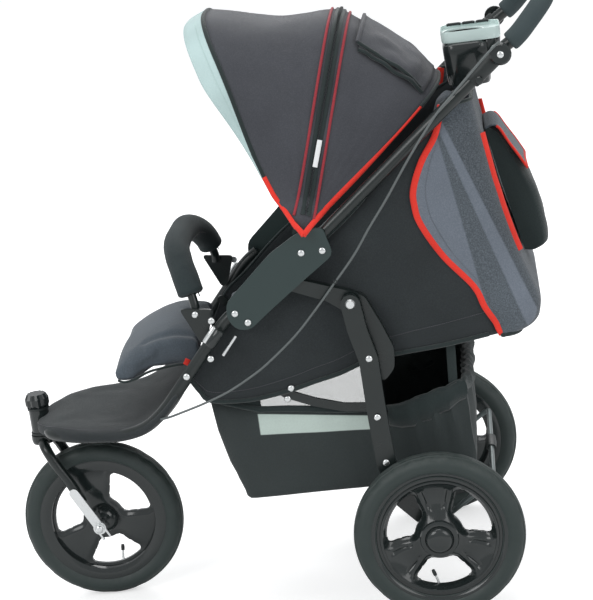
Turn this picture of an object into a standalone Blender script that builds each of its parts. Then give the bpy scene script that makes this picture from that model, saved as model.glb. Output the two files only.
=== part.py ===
"""Three-wheeled baby stroller: folding tube frame, swivel front wheel, hood, reclining seat and basket.

Metres, +Z up. The stroller faces -X, its left side is -Y, and it stands on the ground plane z = 0.
Side views are given as (x, z) pairs; "across" is the distance from the middle plane y = 0.
"""

import math

import bmesh
import bpy
from mathutils import Matrix, Vector

# ---- Driving dimensions -------------------------------------------------------------------------

HALF_LENGTH = 0.55                      # the box of the whole stroller, front tyre to handle grip
WHEEL_RADIUS = 0.1525                   # 12 inch air tyres
TYRE_THICKNESS = 0.047
WHEELBASE = 0.6453
TRACK = 0.5208
FRONT_AXLE = (WHEEL_RADIUS - HALF_LENGTH, WHEEL_RADIUS)
REAR_AXLE = (FRONT_AXLE[0] + WHEELBASE, WHEEL_RADIUS)
STEERING_X = -0.489                     # upright axis of the front fork
TUBE_RADIUS = 0.011
TUBE_ACROSS = 0.205                     # the side tubes' middle lines
GAP = 0.0003                            # between pieces that touch

# Pivots, each an axis along Y through (x, z)
FOLD_PIVOT = (-0.063, 0.5855)           # front frame on the hinge plates
LEG_PIVOT = (0.141, 0.583)              # rear legs on the seat rails
BRACE_AT_LEG = (0.163, 0.373)
BRACE_AT_TUBE = (-0.1365, 0.5088)
HOOD_PIVOT = (0.073, 0.711)
HANDLE_PIVOT = (0.446, 0.985)
RECLINE_PIVOT = (0.235, 0.485)
CALF_PIVOT = (-0.152, 0.512)
BUMPER_PIVOT = (-0.137, 0.584)

# Layers across the stroller, from the middle outwards
PAD_HALF_WIDTH = 0.166
BRACE_LAYER = (0.174, 0.179)
SIDE_PANEL_LAYER = (0.1835, 0.1865)
WING_ACROSS = 0.1905
PLATE_LAYER = (0.2175, 0.2215)
LEG_LAYER = (0.2225, 0.2345)

# Hood: direction of each bow from the pivot in degrees above +X, and how far it reaches at the top
REAR_BOW = (42.0, 0.336)
MIDDLE_BOW = (74.0, 0.362)
FRONT_BOW = (110.0, 0.400)
BOW_INSET = 0.0095                      # from the cloth's middle to the bow's
REAR_BOW_EXTRA_INSET = 0.0115           # the other bows fold down outside the rear one
HOOD_HALF_WIDTH = 0.186
HOOD_THICKNESS = 0.004
HOOD_SQUARENESS = 3.0                   # exponent of the arch: 2 is an ellipse, more is boxier

HANDLE_GRIP_RADIUS = 0.0175
HANDLE_BAR_X = HALF_LENGTH - HANDLE_GRIP_RADIUS
HANDLE_ACROSS = 0.182
BUMPER_PAD_RADIUS = 0.0235

SIDES = {"left": -1, "right": 1}

PAINTS = {                              # colour, roughness, metallic
    "black_tube": ((0.020, 0.026, 0.025), 0.30, 0.0),
    "grey_plate": ((0.045, 0.062, 0.060), 0.40, 0.0),
    "gloss_plastic": ((0.012, 0.015, 0.015), 0.15, 0.0),
    "tyre": ((0.030, 0.031, 0.032), 0.75, 0.0),
    "foam": ((0.040, 0.052, 0.056), 0.90, 0.0),
    "charcoal_fabric": ((0.055, 0.052, 0.060), 0.92, 0.0),
    "slate_fabric": ((0.105, 0.130, 0.155), 0.92, 0.0),
    "mint_trim": ((0.62, 0.76, 0.73), 0.60, 0.0),
    "mint_plastic": ((0.60, 0.72, 0.70), 0.25, 0.0),
    "silver": ((0.72, 0.74, 0.74), 0.28, 1.0),
    "cable": ((0.18, 0.20, 0.20), 0.45, 0.0),
}


# ---- Tools --------------------------------------------------------------------------------------

def clear_scene():
    for old in list(bpy.data.objects):
        bpy.data.objects.remove(old, do_unlink=True)


def material(name):
    found = bpy.data.materials.get(name)
    if found:
        return found
    colour, roughness, metallic = PAINTS[name]
    made = bpy.data.materials.new(name)
    made.use_nodes = True
    shader = made.node_tree.nodes["Principled BSDF"]
    shader.inputs["Base Color"].default_value = (*colour, 1.0)
    shader.inputs["Roughness"].default_value = roughness
    shader.inputs["Metallic"].default_value = metallic
    return made


def place(name, shape, paint, pivot=None, smooth=True):
    """Makes an object of a bmesh, with its origin at pivot, which is (x, z) or (x, y, z)."""
    origin = Vector((0.0, 0.0, 0.0))
    if pivot:
        origin = Vector(pivot if len(pivot) == 3 else (pivot[0], 0.0, pivot[1]))
    bmesh.ops.recalc_face_normals(shape, faces=shape.faces)
    bmesh.ops.translate(shape, verts=shape.verts, vec=-origin)
    mesh = bpy.data.meshes.new(name)
    shape.to_mesh(mesh)
    shape.free()
    if smooth:
        mesh.shade_smooth()
        mesh.set_sharp_from_angle(angle=math.radians(35))
    mesh.materials.append(material(paint))
    made = bpy.data.objects.new(name, mesh)
    made.location = origin
    bpy.context.scene.collection.objects.link(made)
    return made


def as_guide(helper):
    helper.hide_render = True
    helper.display_type = "WIRE"
    return helper


def combine(target, other, operation):
    step = target.modifiers.new(operation.lower(), "BOOLEAN")
    step.operation = operation
    step.object = as_guide(other)
    return target


def rounded(points, bend, steps=3):
    """A route with each inner corner turned into a curve that starts at most bend before it."""
    points = [Vector(p) for p in points]
    route = [points[0]]
    for before, corner, after in zip(points, points[1:], points[2:]):
        reach = min(bend, (corner - before).length * 0.48, (after - corner).length * 0.48)
        start = corner + (before - corner).normalized() * reach
        end = corner + (after - corner).normalized() * reach
        for step in range(steps + 1):
            t = step / steps
            route.append(start * (1 - t) ** 2 + corner * (2 * t * (1 - t)) + end * t ** 2)
    route.append(points[-1])
    return route


def trimmed(route, length):
    """A route cut short by this length at both ends."""
    for _ in range(2):
        left = length
        while (route[1] - route[0]).length <= left:
            left -= (route[1] - route[0]).length
            route = route[1:]
        start = route[0] + (route[1] - route[0]).normalized() * left
        route = ([start] + route[1:])[::-1]
    return route


def frames_along(route):
    """For each point of a route, two directions square to it, carried along without twisting."""
    tangents = []
    for index in range(len(route)):
        ahead = route[min(index + 1, len(route) - 1)]
        behind = route[max(index - 1, 0)]
        tangents.append((ahead - behind).normalized())
    guess = Vector((0, 1, 0)) if abs(tangents[0].y) < 0.9 else Vector((0, 0, 1))
    normal = (guess - tangents[0] * guess.dot(tangents[0])).normalized()
    frames = []
    for tangent in tangents:
        normal = (normal - tangent * normal.dot(tangent)).normalized()
        frames.append((normal, tangent.cross(normal)))
    return frames


def sweep(name, route, radius, paint, bore=0.0, sides=9, pivot=None):
    """A round bar along a route, or a sleeve if it has a bore."""
    shape = bmesh.new()
    radii = [radius, bore] if bore else [radius]
    layers = [[] for _ in radii]
    for point, (first, second) in zip(route, frames_along(route)):
        for layer, size in zip(layers, radii):
            ring = []
            for side in range(sides):
                turn = 2 * math.pi * side / sides
                ring.append(shape.verts.new(point + (first * math.cos(turn) + second * math.sin(turn)) * size))
            layer.append(ring)
    for layer in layers:
        for ring, following in zip(layer, layer[1:]):
            join_rings(shape, ring, following)
    if bore:
        join_rings(shape, layers[0][0], layers[1][0])
        join_rings(shape, layers[0][-1], layers[1][-1])
    else:
        shape.faces.new(layers[0][0])
        shape.faces.new(layers[0][-1])
    return place(name, shape, paint, pivot)


def join_rings(shape, ring, following):
    count = len(ring)
    for index in range(count):
        after = (index + 1) % count
        shape.faces.new((ring[index], ring[after], following[after], following[index]))


def turned(name, profile, centre, paint, steps=32, upright=False, side=1):
    """Turns a closed profile of (radius, height) about Y, or about Z if upright; side -1 mirrors its height."""
    shape = bmesh.new()
    columns = []
    for step in range(steps):
        turn = 2 * math.pi * step / steps
        column = []
        for radius, height in profile:
            if radius == 0 and columns:
                column.append(columns[0][len(column)])
                continue
            flat = (radius * math.cos(turn), radius * math.sin(turn))
            spot = (flat[0], flat[1], height * side) if upright else (flat[0], height * side, flat[1])
            column.append(shape.verts.new(Vector(centre) + Vector(spot)))
        columns.append(column)
    for step, column in enumerate(columns):
        following = columns[(step + 1) % steps]
        for index in range(len(profile)):
            after = (index + 1) % len(profile)
            corners = []
            for corner in (column[index], column[after], following[after], following[index]):
                if corner not in corners:
                    corners.append(corner)
            if len(corners) > 2:
                shape.faces.new(corners)
    return place(name, shape, paint, centre)


def extruded(name, outline, across, paint, side=1, pivot=None, soft_edge=0.0):
    """A side view outline of (x, z) pairs, made solid between two distances across the stroller."""
    shape = bmesh.new()
    inner = [shape.verts.new((x, side * across[0], z)) for x, z in outline]
    outer = [shape.verts.new((x, side * across[1], z)) for x, z in outline]
    shape.faces.new(inner)
    shape.faces.new(outer)
    join_rings(shape, inner, outer)
    made = place(name, shape, paint, pivot, smooth=False)
    if soft_edge:
        bevel = made.modifiers.new("edge", "BEVEL")
        bevel.width = soft_edge
        bevel.segments = 2
        bevel.limit_method = "ANGLE"
        bevel.angle_limit = math.radians(50)
    return made


def round_outline(outline, bend, steps=3):
    """A closed outline with its corners rounded."""
    loop = [Vector((x, z, 0)) for x, z in outline]
    count = len(loop)
    made = []
    for index, corner in enumerate(loop):
        before, after = loop[index - 1], loop[(index + 1) % count]
        reach_before = min(bend, (before - corner).length * 0.45)
        reach_after = min(bend, (after - corner).length * 0.45)
        start = corner + (before - corner).normalized() * reach_before
        end = corner + (after - corner).normalized() * reach_after
        for step in range(steps + 1):
            t = step / steps
            spot = start * (1 - t) ** 2 + corner * (2 * t * (1 - t)) + end * t ** 2
            made.append((spot.x, spot.y))
    return made


def bar_outline(centre_line, width, end_steps=5):
    """The outline of a flat bar with round ends along an (x, z) centre line."""
    line = [Vector((x, z, 0)) for x, z in centre_line]
    left, right = [], []
    for index, point in enumerate(line):
        ahead = line[min(index + 1, len(line) - 1)]
        behind = line[max(index - 1, 0)]
        normal = (ahead - behind).normalized().cross(Vector((0, 0, 1)))
        left.append(point + normal * width / 2)
        right.append(point - normal * width / 2)

    def cap(centre, edge):
        arm = edge - centre
        return [
            centre + Matrix.Rotation(math.pi * step / (end_steps + 1), 3, "Z") @ arm
            for step in range(1, end_steps + 1)
        ]

    loop = left + cap(line[-1], left[-1]) + right[::-1] + cap(line[0], right[0])
    return [(point.x, point.y) for point in loop]


def sheet(name, rows, thickness, paint, pivot=None):
    """A skin through rows of points, with thickness on both sides of it."""
    shape = bmesh.new()
    grid = [[shape.verts.new(point) for point in row] for row in rows]
    for row, following in zip(grid, grid[1:]):
        for index in range(len(row) - 1):
            shape.faces.new((row[index], row[index + 1], following[index + 1], following[index]))
    made = place(name, shape, paint, pivot)
    thicken = made.modifiers.new("thickness", "SOLIDIFY")
    thicken.thickness = thickness
    thicken.offset = 0.0
    return made


def cylinder(name, centre, radius, half_length, paint="silver", steps=16, upright=False):
    profile = [(0, -half_length), (radius, -half_length), (radius, half_length), (0, half_length)]
    return turned(name, profile, centre, paint, steps, upright)


def between(low, high, share):
    return low + (high - low) * share


# ---- Wheels -------------------------------------------------------------------------------------

RIM_RADIUS = 0.1095
HUB_RADIUS = 0.027
AXLE_RADIUS = 0.006
WINDOW_RADII = (0.040, 0.090)
WINDOW_HALF_ANGLE = 37.0
SPOKES = 3


def tyre_profile():
    """A round carcass with a flat inner side that sits on the rim."""
    half = TYRE_THICKNESS / 2
    middle = WHEEL_RADIUS - half
    profile = []
    for step in range(9):
        turn = math.radians(-128 + 32 * step)
        profile.append((middle + half * math.cos(turn), half * math.sin(turn)))
    inner = RIM_RADIUS + GAP * 2
    return profile + [(inner, 0.0150), (inner, -0.0150)]


def rim_profile(bore, domed):
    """Rim ring, thin web and hub. A domed hub closes over the axle's end on the outer side."""
    web, ring_inner, ring_half, hub_half = 0.0045, 0.0975, 0.0150, 0.0220
    outer = [(HUB_RADIUS, web), (ring_inner, web), (ring_inner, ring_half), (RIM_RADIUS, ring_half)]
    inner = [(RIM_RADIUS, -ring_half), (ring_inner, -ring_half), (ring_inner, -web), (HUB_RADIUS, -web)]
    if not domed:
        return [(bore, hub_half), (HUB_RADIUS, hub_half)] + outer + inner + [(HUB_RADIUS, -hub_half), (bore, -hub_half)]
    dome = [(0, 0.018), (0, 0.040), (0.012, 0.038), (0.022, 0.031)]
    return dome + [(HUB_RADIUS, hub_half)] + outer + inner + [(HUB_RADIUS, -hub_half), (bore, -hub_half), (bore, 0.018)]


def window_cutter(name, centre, first_spoke):
    """The three openings between the spokes, as one cutter."""
    shape = bmesh.new()
    low, high = WINDOW_RADII
    for spoke in range(SPOKES):
        middle = math.radians(first_spoke + 360 / SPOKES * (spoke + 0.5))
        outline = []
        for step in range(5):
            turn = middle + math.radians(between(-WINDOW_HALF_ANGLE, WINDOW_HALF_ANGLE, step / 4))
            outline.append((high * math.cos(turn), high * math.sin(turn)))
        for step in range(4):
            turn = middle + math.radians(between(WINDOW_HALF_ANGLE, -WINDOW_HALF_ANGLE, step / 3) * 0.72)
            outline.append((low * math.cos(turn), low * math.sin(turn)))
        near = [shape.verts.new((centre[0] + x, centre[1] - 0.012, centre[2] + z)) for x, z in outline]
        far = [shape.verts.new((centre[0] + x, centre[1] + 0.012, centre[2] + z)) for x, z in outline]
        shape.faces.new(near)
        shape.faces.new(far)
        join_rings(shape, near, far)
    return as_guide(place(name, shape, "silver"))


def wheel(label, centre, bore, domed, side, first_spoke):
    turned(label + "_tyre", tyre_profile(), centre, "tyre", steps=40)
    rim = turned(label + "_rim", rim_profile(bore, domed), centre, "gloss_plastic", steps=28, side=side)
    combine(rim, window_cutter(label + "_windows", centre, first_spoke), "DIFFERENCE")


def make_wheels():
    front = (FRONT_AXLE[0], 0.0, FRONT_AXLE[1])
    wheel("front", front, 0.0055, False, 1, 100.0)
    for label, side in SIDES.items():
        rear = (REAR_AXLE[0], side * TRACK / 2, REAR_AXLE[1])
        wheel("rear_" + label, rear, AXLE_RADIUS + GAP, True, side, 90.0)


# ---- Front frame, fork and foot rest ------------------------------------------------------------

FRONT_TUBE = [                          # x, across, z from the hinge plate down and forward
    (-0.057, TUBE_ACROSS, 0.5900),
    (-0.085, TUBE_ACROSS, 0.5700),
    (-0.128, TUBE_ACROSS, 0.5190),
    (-0.168, TUBE_ACROSS, 0.4720),
    (-0.217, 0.195, 0.4130),
    (-0.262, 0.174, 0.3750),
    (-0.320, 0.150, 0.3590),
    (-0.400, 0.128, 0.3590),
    (-0.4589, 0.092, 0.3600),
    (-0.4589, 0.0005, 0.3600),
]
HEAD_RADIUS = 0.0188
HEAD_HEIGHTS = (0.333, 0.386)
BLADE_ACROSS = 0.046
BLADE_RADIUS = 0.009
DROPOUT_LAYER = (0.0555, 0.0590)
DROPOUT_TOP = (-0.436, 0.226)
DROPOUT_HALF_WIDTH = 0.0090
FRONT_AXLE_RADIUS = 0.005


def make_front_frame():
    for label, side in SIDES.items():
        route = rounded([(x, side * y, z) for x, y, z in FRONT_TUBE], 0.03)
        sweep("front_tube_" + label, route, TUBE_RADIUS, "black_tube", pivot=FOLD_PIVOT)
        bracket = round_outline([(-0.164, 0.597), (-0.104, 0.590), (-0.122, 0.535), (-0.134, 0.530)], 0.008)
        extruded("bumper_bracket_" + label, bracket, (0.1885, 0.1935), "black_tube", side, FOLD_PIVOT)
    low, high = HEAD_HEIGHTS
    bore = 0.0105
    profile = [(bore, low), (HEAD_RADIUS, low), (HEAD_RADIUS, high), (bore, high)]
    turned("head_block", profile, (STEERING_X, 0, 0), "gloss_plastic", steps=24, upright=True)
    make_footrest()


def make_footrest():
    """Fabric stretched between the two lower tubes, slightly crowned."""
    stations = [(-0.444, 0.074, 0.360), (-0.400, 0.112, 0.3590), (-0.350, 0.127, 0.3590), (-0.300, 0.143, 0.3650), (-0.258, 0.157, 0.3820)]
    rows = []
    for x, half_width, z in stations:
        row = []
        for step in range(9):
            share = between(-1, 1, step / 8)
            row.append((x, share * half_width, z + 0.010 * (1 - share * share)))
        rows.append(row)
    sheet("footrest", rows, 0.008, "charcoal_fabric", pivot=FOLD_PIVOT)


def make_latches():
    """Spring locks that slide down the front tubes to free the fold."""
    along = Vector((-0.64, -0.77)).normalized()
    for label, side in SIDES.items():
        line = [(-0.098, 0.557), (-0.098 + along.x * 0.030, 0.557 + along.y * 0.030)]
        block = bar_outline(line, 0.022, end_steps=2)
        extruded("fold_latch_" + label, block, (0.2168, 0.2300), "gloss_plastic", side, soft_edge=0.002)


def dropout_outline():
    """A flat axle carrier with an open slot, so that its lower end has two prongs."""
    axle = Vector((FRONT_AXLE[0], FRONT_AXLE[1]))
    up = (Vector(DROPOUT_TOP) - axle).normalized()
    out = Vector((up.y, -up.x))
    reach = (Vector(DROPOUT_TOP) - axle).length
    slot = FRONT_AXLE_RADIUS + GAP
    spots = [(-0.024, -DROPOUT_HALF_WIDTH), (-0.024, -slot), (0, -slot)]
    for step in range(1, 5):
        turn = math.pi * step / 5
        spots.append((slot * math.sin(turn), -slot * math.cos(turn)))
    spots += [(0, slot), (-0.024, slot), (-0.024, DROPOUT_HALF_WIDTH)]
    for step in range(7):
        turn = math.pi * step / 6
        spots.append((reach + DROPOUT_HALF_WIDTH * math.sin(turn), DROPOUT_HALF_WIDTH * math.cos(turn)))
    return [tuple(axle + up * along + out * across) for along, across in spots]


def make_fork():
    collar = [(0, 0.312), (0.020, 0.316), (0.0215, 0.322), (0.0215, 0.3325), (0.0102, 0.3325), (0.0102, 0.392), (0, 0.392)]
    fork = turned("fork", collar, (STEERING_X, 0, 0), "black_tube", steps=24, upright=True)
    for label, side in SIDES.items():
        route = rounded(
            [
                (-0.489, side * 0.004, 0.322),
                (-0.478, side * 0.040, 0.314),
                (-0.462, side * BLADE_ACROSS, 0.280),
                (-0.443, side * BLADE_ACROSS, 0.245),
                (-0.424, side * BLADE_ACROSS, 0.203),
            ],
            0.018,
        )
        combine(fork, sweep("blade_" + label, route, BLADE_RADIUS, "black_tube"), "UNION")
        extruded("dropout_" + label, dropout_outline(), DROPOUT_LAYER, "silver", side)
    nut, end = 0.0095, 0.0665
    profile = [(0, -end), (nut, -end), (nut, -0.0594), (FRONT_AXLE_RADIUS, -0.0594)]
    profile += [(FRONT_AXLE_RADIUS, 0.0594), (nut, 0.0594), (nut, end), (0, end)]
    turned("front_axle", profile, (FRONT_AXLE[0], 0, FRONT_AXLE[1]), "silver", steps=16)


def make_swivel_knob():
    """A ribbed knob that turns to lock the fork straight ahead."""
    shape = bmesh.new()
    ribs = 12
    heights = ((0.3867, 0.88), (0.3920, 1.0), (0.4040, 1.0), (0.4130, 0.80))
    rings = []
    for height, share in heights:
        ring = []
        for step in range(ribs * 2):
            turn = math.pi * step / ribs
            radius = (0.0225 if step % 2 else 0.0200) * share
            ring.append(shape.verts.new((STEERING_X + radius * math.cos(turn), radius * math.sin(turn), height)))
        rings.append(ring)
    for ring, following in zip(rings, rings[1:]):
        join_rings(shape, ring, following)
    shape.faces.new(rings[0])
    shape.faces.new(rings[-1])
    knob = place("swivel_knob", shape, "gloss_plastic", (STEERING_X, 0, 0.400))
    combine(knob, cylinder("knob_socket", (STEERING_X, 0, 0.385), 0.0106, 0.0085, upright=True), "DIFFERENCE")


def make_bumper():
    """The padded bar across the seat, held at both ends by the brackets on the front tubes."""
    half = [(*BUMPER_PIVOT, 0.180), (-0.138, 0.603, 0.179), (-0.148, 0.640, 0.162), (-0.162, 0.670, 0.120), (-0.171, 0.683, 0.060)]
    near = [(x, -y, z) for x, z, y in half]
    far = [(x, y, z) for x, z, y in reversed(half)]
    route = smooth_curve(near + far, 2)
    sweep("bumper_bar", route, 0.008, "black_tube", sides=8, pivot=BUMPER_PIVOT)
    sweep("bumper_pad", trimmed(route, 0.034), BUMPER_PAD_RADIUS, "foam", 0.0100, 12, BUMPER_PIVOT)


def make_calf_rest():
    outline = [
        (-0.143, 0.520), (-0.190, 0.525), (-0.232, 0.516), (-0.272, 0.498), (-0.302, 0.480), (-0.318, 0.466),
        (-0.312, 0.452), (-0.296, 0.448), (-0.276, 0.452), (-0.248, 0.466), (-0.200, 0.472), (-0.143, 0.472),
    ]
    extruded("calf_rest", round_outline(outline, 0.010, steps=2), (-0.138, 0.138), "slate_fabric", pivot=CALF_PIVOT)


# ---- Rear legs, braces and brake ----------------------------------------------------------------

def make_rear_legs():
    line = [(0.141, 0.583), (0.1466, 0.536), (0.160, 0.479), (0.163, 0.373), (0.168, 0.285), (0.190, 0.215), REAR_AXLE]
    holes = [
        cylinder("axle_hole", (REAR_AXLE[0], 0, REAR_AXLE[1]), AXLE_RADIUS + GAP, 0.30),
        cylinder("leg_pivot_hole", (LEG_PIVOT[0], 0, LEG_PIVOT[1]), AXLE_RADIUS + GAP, 0.30),
        cylinder("brace_hole", (BRACE_AT_LEG[0], 0, BRACE_AT_LEG[1]), 0.0045 + GAP, 0.30),
    ]
    for label, side in SIDES.items():
        leg = extruded("rear_leg_" + label, bar_outline(line, 0.034), LEG_LAYER, "black_tube", side, LEG_PIVOT)
        for hole in holes:
            combine(leg, hole, "DIFFERENCE")
        head = LEG_LAYER[1] + GAP
        pin = [(0, 0.2168), (AXLE_RADIUS, 0.2168), (AXLE_RADIUS, head), (0.009, head), (0.007, head + 0.003), (0, head + 0.003)]
        turned("leg_pivot_pin_" + label, pin, (LEG_PIVOT[0], 0, LEG_PIVOT[1]), "silver", 16, side=side)
    shoulder, end = 0.2218, TRACK / 2 + 0.0175
    profile = [(0, -end), (AXLE_RADIUS, -end), (AXLE_RADIUS, -shoulder), (0.009, -shoulder)]
    profile += [(0.009, shoulder), (AXLE_RADIUS, shoulder), (AXLE_RADIUS, end), (0, end)]
    turned("rear_axle", profile, (REAR_AXLE[0], 0, REAR_AXLE[1]), "black_tube", 16)


def make_braces():
    """Flat links from the rear legs to the front tubes, each with a stud through the leg."""
    line = [BRACE_AT_LEG, (0.103, 0.379), (0.050, 0.395), (0.004, 0.415), BRACE_AT_TUBE]
    stud_end = LEG_LAYER[1] + 0.0025
    for label, side in SIDES.items():
        brace = extruded("brace_" + label, bar_outline(line, 0.016), BRACE_LAYER, "black_tube", side, BRACE_AT_LEG)
        middle = (BRACE_LAYER[0] + 0.001 + stud_end) / 2
        stud = cylinder("stud_" + label, (BRACE_AT_LEG[0], side * middle, BRACE_AT_LEG[1]), 0.0045, stud_end - middle)
        combine(brace, stud, "UNION")


def make_foot_brake():
    bar_x, bar_z, across = 0.352, 0.222, 0.200
    start_x, start_z = 0.262, 0.162
    corners = [(start_x, -across, start_z), (bar_x, -across, bar_z), (bar_x, across, bar_z), (start_x, across, start_z)]
    sweep("foot_brake", rounded(corners, 0.02), 0.005, "silver", sides=8, pivot=REAR_AXLE)


# ---- Upper frame --------------------------------------------------------------------------------

def make_upper_frame():
    tube_end = Vector((HANDLE_PIVOT[0], HANDLE_PIVOT[1]))
    plate = [
        (0.064, 0.717), (0.109, 0.724), (0.122, 0.672), (0.060, 0.628), (0.001, 0.585),
        (-0.040, 0.553), (-0.064, 0.556), (-0.078, 0.577), (-0.076, 0.606), (0.012, 0.686),
    ]
    rivets = [(0.067, 0.681), (0.104, 0.681), FOLD_PIVOT, (-0.0424, 0.5668)]
    rail = [
        (0.020, 0.645), (0.012, 0.625), (0.100, 0.588), (0.128, 0.566), (0.158, 0.540), (0.172, 0.490),
        (0.170, 0.440), (0.183, 0.432), (0.203, 0.454), (0.206, 0.491), (0.190, 0.535), (0.166, 0.590), (0.142, 0.602),
    ]
    for label, side in SIDES.items():
        route = [Vector((0.062, side * TUBE_ACROSS, 0.671)), Vector((tube_end.x, side * TUBE_ACROSS, tube_end.y))]
        sweep("push_tube_" + label, route, TUBE_RADIUS, "black_tube", sides=12)
        body = extruded("hinge_plate_" + label, round_outline(plate, 0.012), PLATE_LAYER, "grey_plate", side)
        for number, (x, z) in enumerate(rivets):
            rivet = cylinder(f"rivet_{label}_{number}", (x, side * 0.2215, z), 0.0060, 0.0020, steps=8)
            combine(body, rivet, "UNION")
        pin = [(0, 0.1900), (0.020, 0.1900), (0.020, 0.1930), (0.007, 0.1940), (0.007, 0.2190), (0, 0.2190)]
        combine(body, turned("hood_pin_" + label, pin, (HOOD_PIVOT[0], 0, HOOD_PIVOT[1]), "grey_plate", 10, side=side), "UNION")
        extruded("seat_rail_" + label, round_outline(rail, 0.008), (0.1985, 0.2165), "black_tube", side)
        cap = [(0, 0.2168), (0.019, 0.2168), (0.019, 0.2240), (0.016, 0.2270), (0, 0.2270)]
        turned("handle_hub_" + label, cap, (HANDLE_PIVOT[0], 0, HANDLE_PIVOT[1]), "gloss_plastic", 20, side=side)


def make_handle():
    start = Vector(HANDLE_PIVOT)
    end = Vector((HANDLE_BAR_X, 1.064))
    run = [start, start + Vector((0.032, 0.021)), end]
    across = (HANDLE_ACROSS, HANDLE_ACROSS, 0.166)
    corners = []
    for side in (-1, 1):
        arm = [(point.x, side * width, point.y) for point, width in zip(run, across)]
        corners += arm if side < 0 else arm[::-1]
    route = rounded(corners, 0.05)
    sweep("handle_bar", route, TUBE_RADIUS, "black_tube", pivot=HANDLE_PIVOT)
    sweep("handle_grip", trimmed(route, 0.022), HANDLE_GRIP_RADIUS, "foam", 0.0127, 12, HANDLE_PIVOT)


def make_console():
    """Cup holder between the push tubes, with a pale tray on top."""
    low, high = 0.907, 0.985
    front, back, half_width = 0.346, 0.432, 0.056
    body = [(front + 0.004, low), (front, high), (back + 0.004, high), (back - 0.010, low)]
    console = extruded("console", body, (-half_width, half_width), "gloss_plastic", soft_edge=0.004)
    for number, side in enumerate((-1, 1)):
        arm = extruded(f"console_arm_{number}", [(0.404, 0.942), (0.404, 0.962), (0.430, 0.962), (0.430, 0.942)], (half_width - 0.003, 0.1935), "gloss_plastic", side)
        combine(console, arm, "UNION")
    well = [(front + 0.008, low + 0.005), (front + 0.0045, 1.03), (back - 0.001, 1.03), (back - 0.014, low + 0.005)]
    combine(console, extruded("well", well, (-half_width + 0.0045, half_width - 0.0045), "gloss_plastic"), "DIFFERENCE")
    top = [(front + 0.002, high + GAP), (front, 1.006), (back + 0.020, 1.003), (back + 0.016, high + GAP)]
    tray = extruded("console_tray", top, (-half_width, half_width), "mint_plastic", soft_edge=0.004)
    hole = cylinder("tray_hole", (0.386, 0, 0.995), 0.0345, 0.03, steps=24, upright=True)
    combine(tray, hole, "DIFFERENCE")


# ---- Seat ---------------------------------------------------------------------------------------

SHELL_LEVELS = [                        # height, wing's front edge, back panel
    (0.496, 0.392, 0.446),
    (0.510, 0.388, 0.465),
    (0.540, 0.370, 0.468),
    (0.580, 0.358, 0.457),
    (0.640, 0.308, 0.438),
    (0.700, 0.280, 0.423),
    (0.765, 0.273, 0.410),
    (0.810, 0.292, 0.403),
    (0.850, 0.318, 0.397),
    (0.905, 0.338, 0.389),
]


def make_seat():
    pad = [(-0.125, 0.500), (-0.125, 0.534), (0.208, 0.506), (0.216, 0.472), (0.200, 0.470)]
    extruded("seat_pad", round_outline(pad, 0.010, steps=2), (-PAD_HALF_WIDTH, PAD_HALF_WIDTH), "slate_fabric")
    side_view = [
        (-0.138, 0.508), (-0.154, 0.486), (-0.161, 0.462), (-0.149, 0.444), (-0.136, 0.424), (-0.120, 0.418), (-0.063, 0.416),
        (0.011, 0.428), (0.104, 0.448), (0.196, 0.473), (0.300, 0.480), (0.388, 0.494), (0.382, 0.530), (0.352, 0.700), (0.350, 0.880), (0.306, 0.870), (0.110, 0.690),
        (0.012, 0.640), (-0.080, 0.560),
    ]
    for label, side in SIDES.items():
        extruded("seat_side_" + label, side_view, SIDE_PANEL_LAYER, "charcoal_fabric", side)
    board = [(0.222, 0.500), (0.252, 0.491), (0.370, 0.876), (0.340, 0.885)]
    extruded("backrest_pad", round_outline(board, 0.010, steps=2), (-0.162, 0.162), "slate_fabric", pivot=RECLINE_PIVOT)
    buckle = [(-0.030, 0.5345), (-0.030, 0.585), (-0.012, 0.585), (-0.012, 0.5345)]
    extruded("harness_buckle", buckle, (-0.020, 0.020), "gloss_plastic", soft_edge=0.003)
    make_rear_shell()


def make_rear_shell():
    """Wings and back panel in one skin, and the bag behind them."""
    corner = 0.035
    rows = []
    for height, front, back in SHELL_LEVELS:
        half = [(front, WING_ACROSS), ((front + back - corner) / 2, WING_ACROSS), (back - corner, WING_ACROSS)]
        for step in range(1, 4):
            turn = math.pi / 2 * step / 4
            half.append((back - corner + corner * math.sin(turn), WING_ACROSS - corner + corner * math.cos(turn)))
        half += [(back, WING_ACROSS - corner), (back, 0.075)]
        row = [(x, -y, height) for x, y in half] + [(back, 0, height)] + [(x, y, height) for x, y in half[::-1]]
        rows.append(row)
    sheet("rear_shell", rows, 0.004, "slate_fabric", pivot=RECLINE_PIVOT)
    bag = [
        (0.4560, 0.604), (0.478, 0.602), (0.499, 0.615), (0.496, 0.660), (0.485, 0.712), (0.468, 0.752),
        (0.442, 0.802), (0.426, 0.829), (0.4050, 0.829), (0.4290, 0.712),
    ]
    extruded("rear_pocket", bag, (-0.062, 0.062), "charcoal_fabric", pivot=RECLINE_PIVOT, soft_edge=0.006)


# ---- Hood ---------------------------------------------------------------------------------------

def hood_arch(angle, reach, half_width, first=0.010, last=0.990, steps=16):
    """Points of an arch that starts near the pivot on the left, goes over the top and ends on the right."""
    along = Vector((math.cos(math.radians(angle)), 0, math.sin(math.radians(angle))))
    centre = Vector((HOOD_PIVOT[0], 0, HOOD_PIVOT[1]))
    power = 2 / HOOD_SQUARENESS
    points = []
    for step in range(steps + 1):
        turn = math.pi * between(first, last, step / steps)
        y = -math.copysign(abs(math.cos(turn)) ** power, math.cos(turn)) * half_width
        points.append(centre + along * (reach * math.sin(turn) ** power) + Vector((0, y, 0)))
    return points


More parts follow.
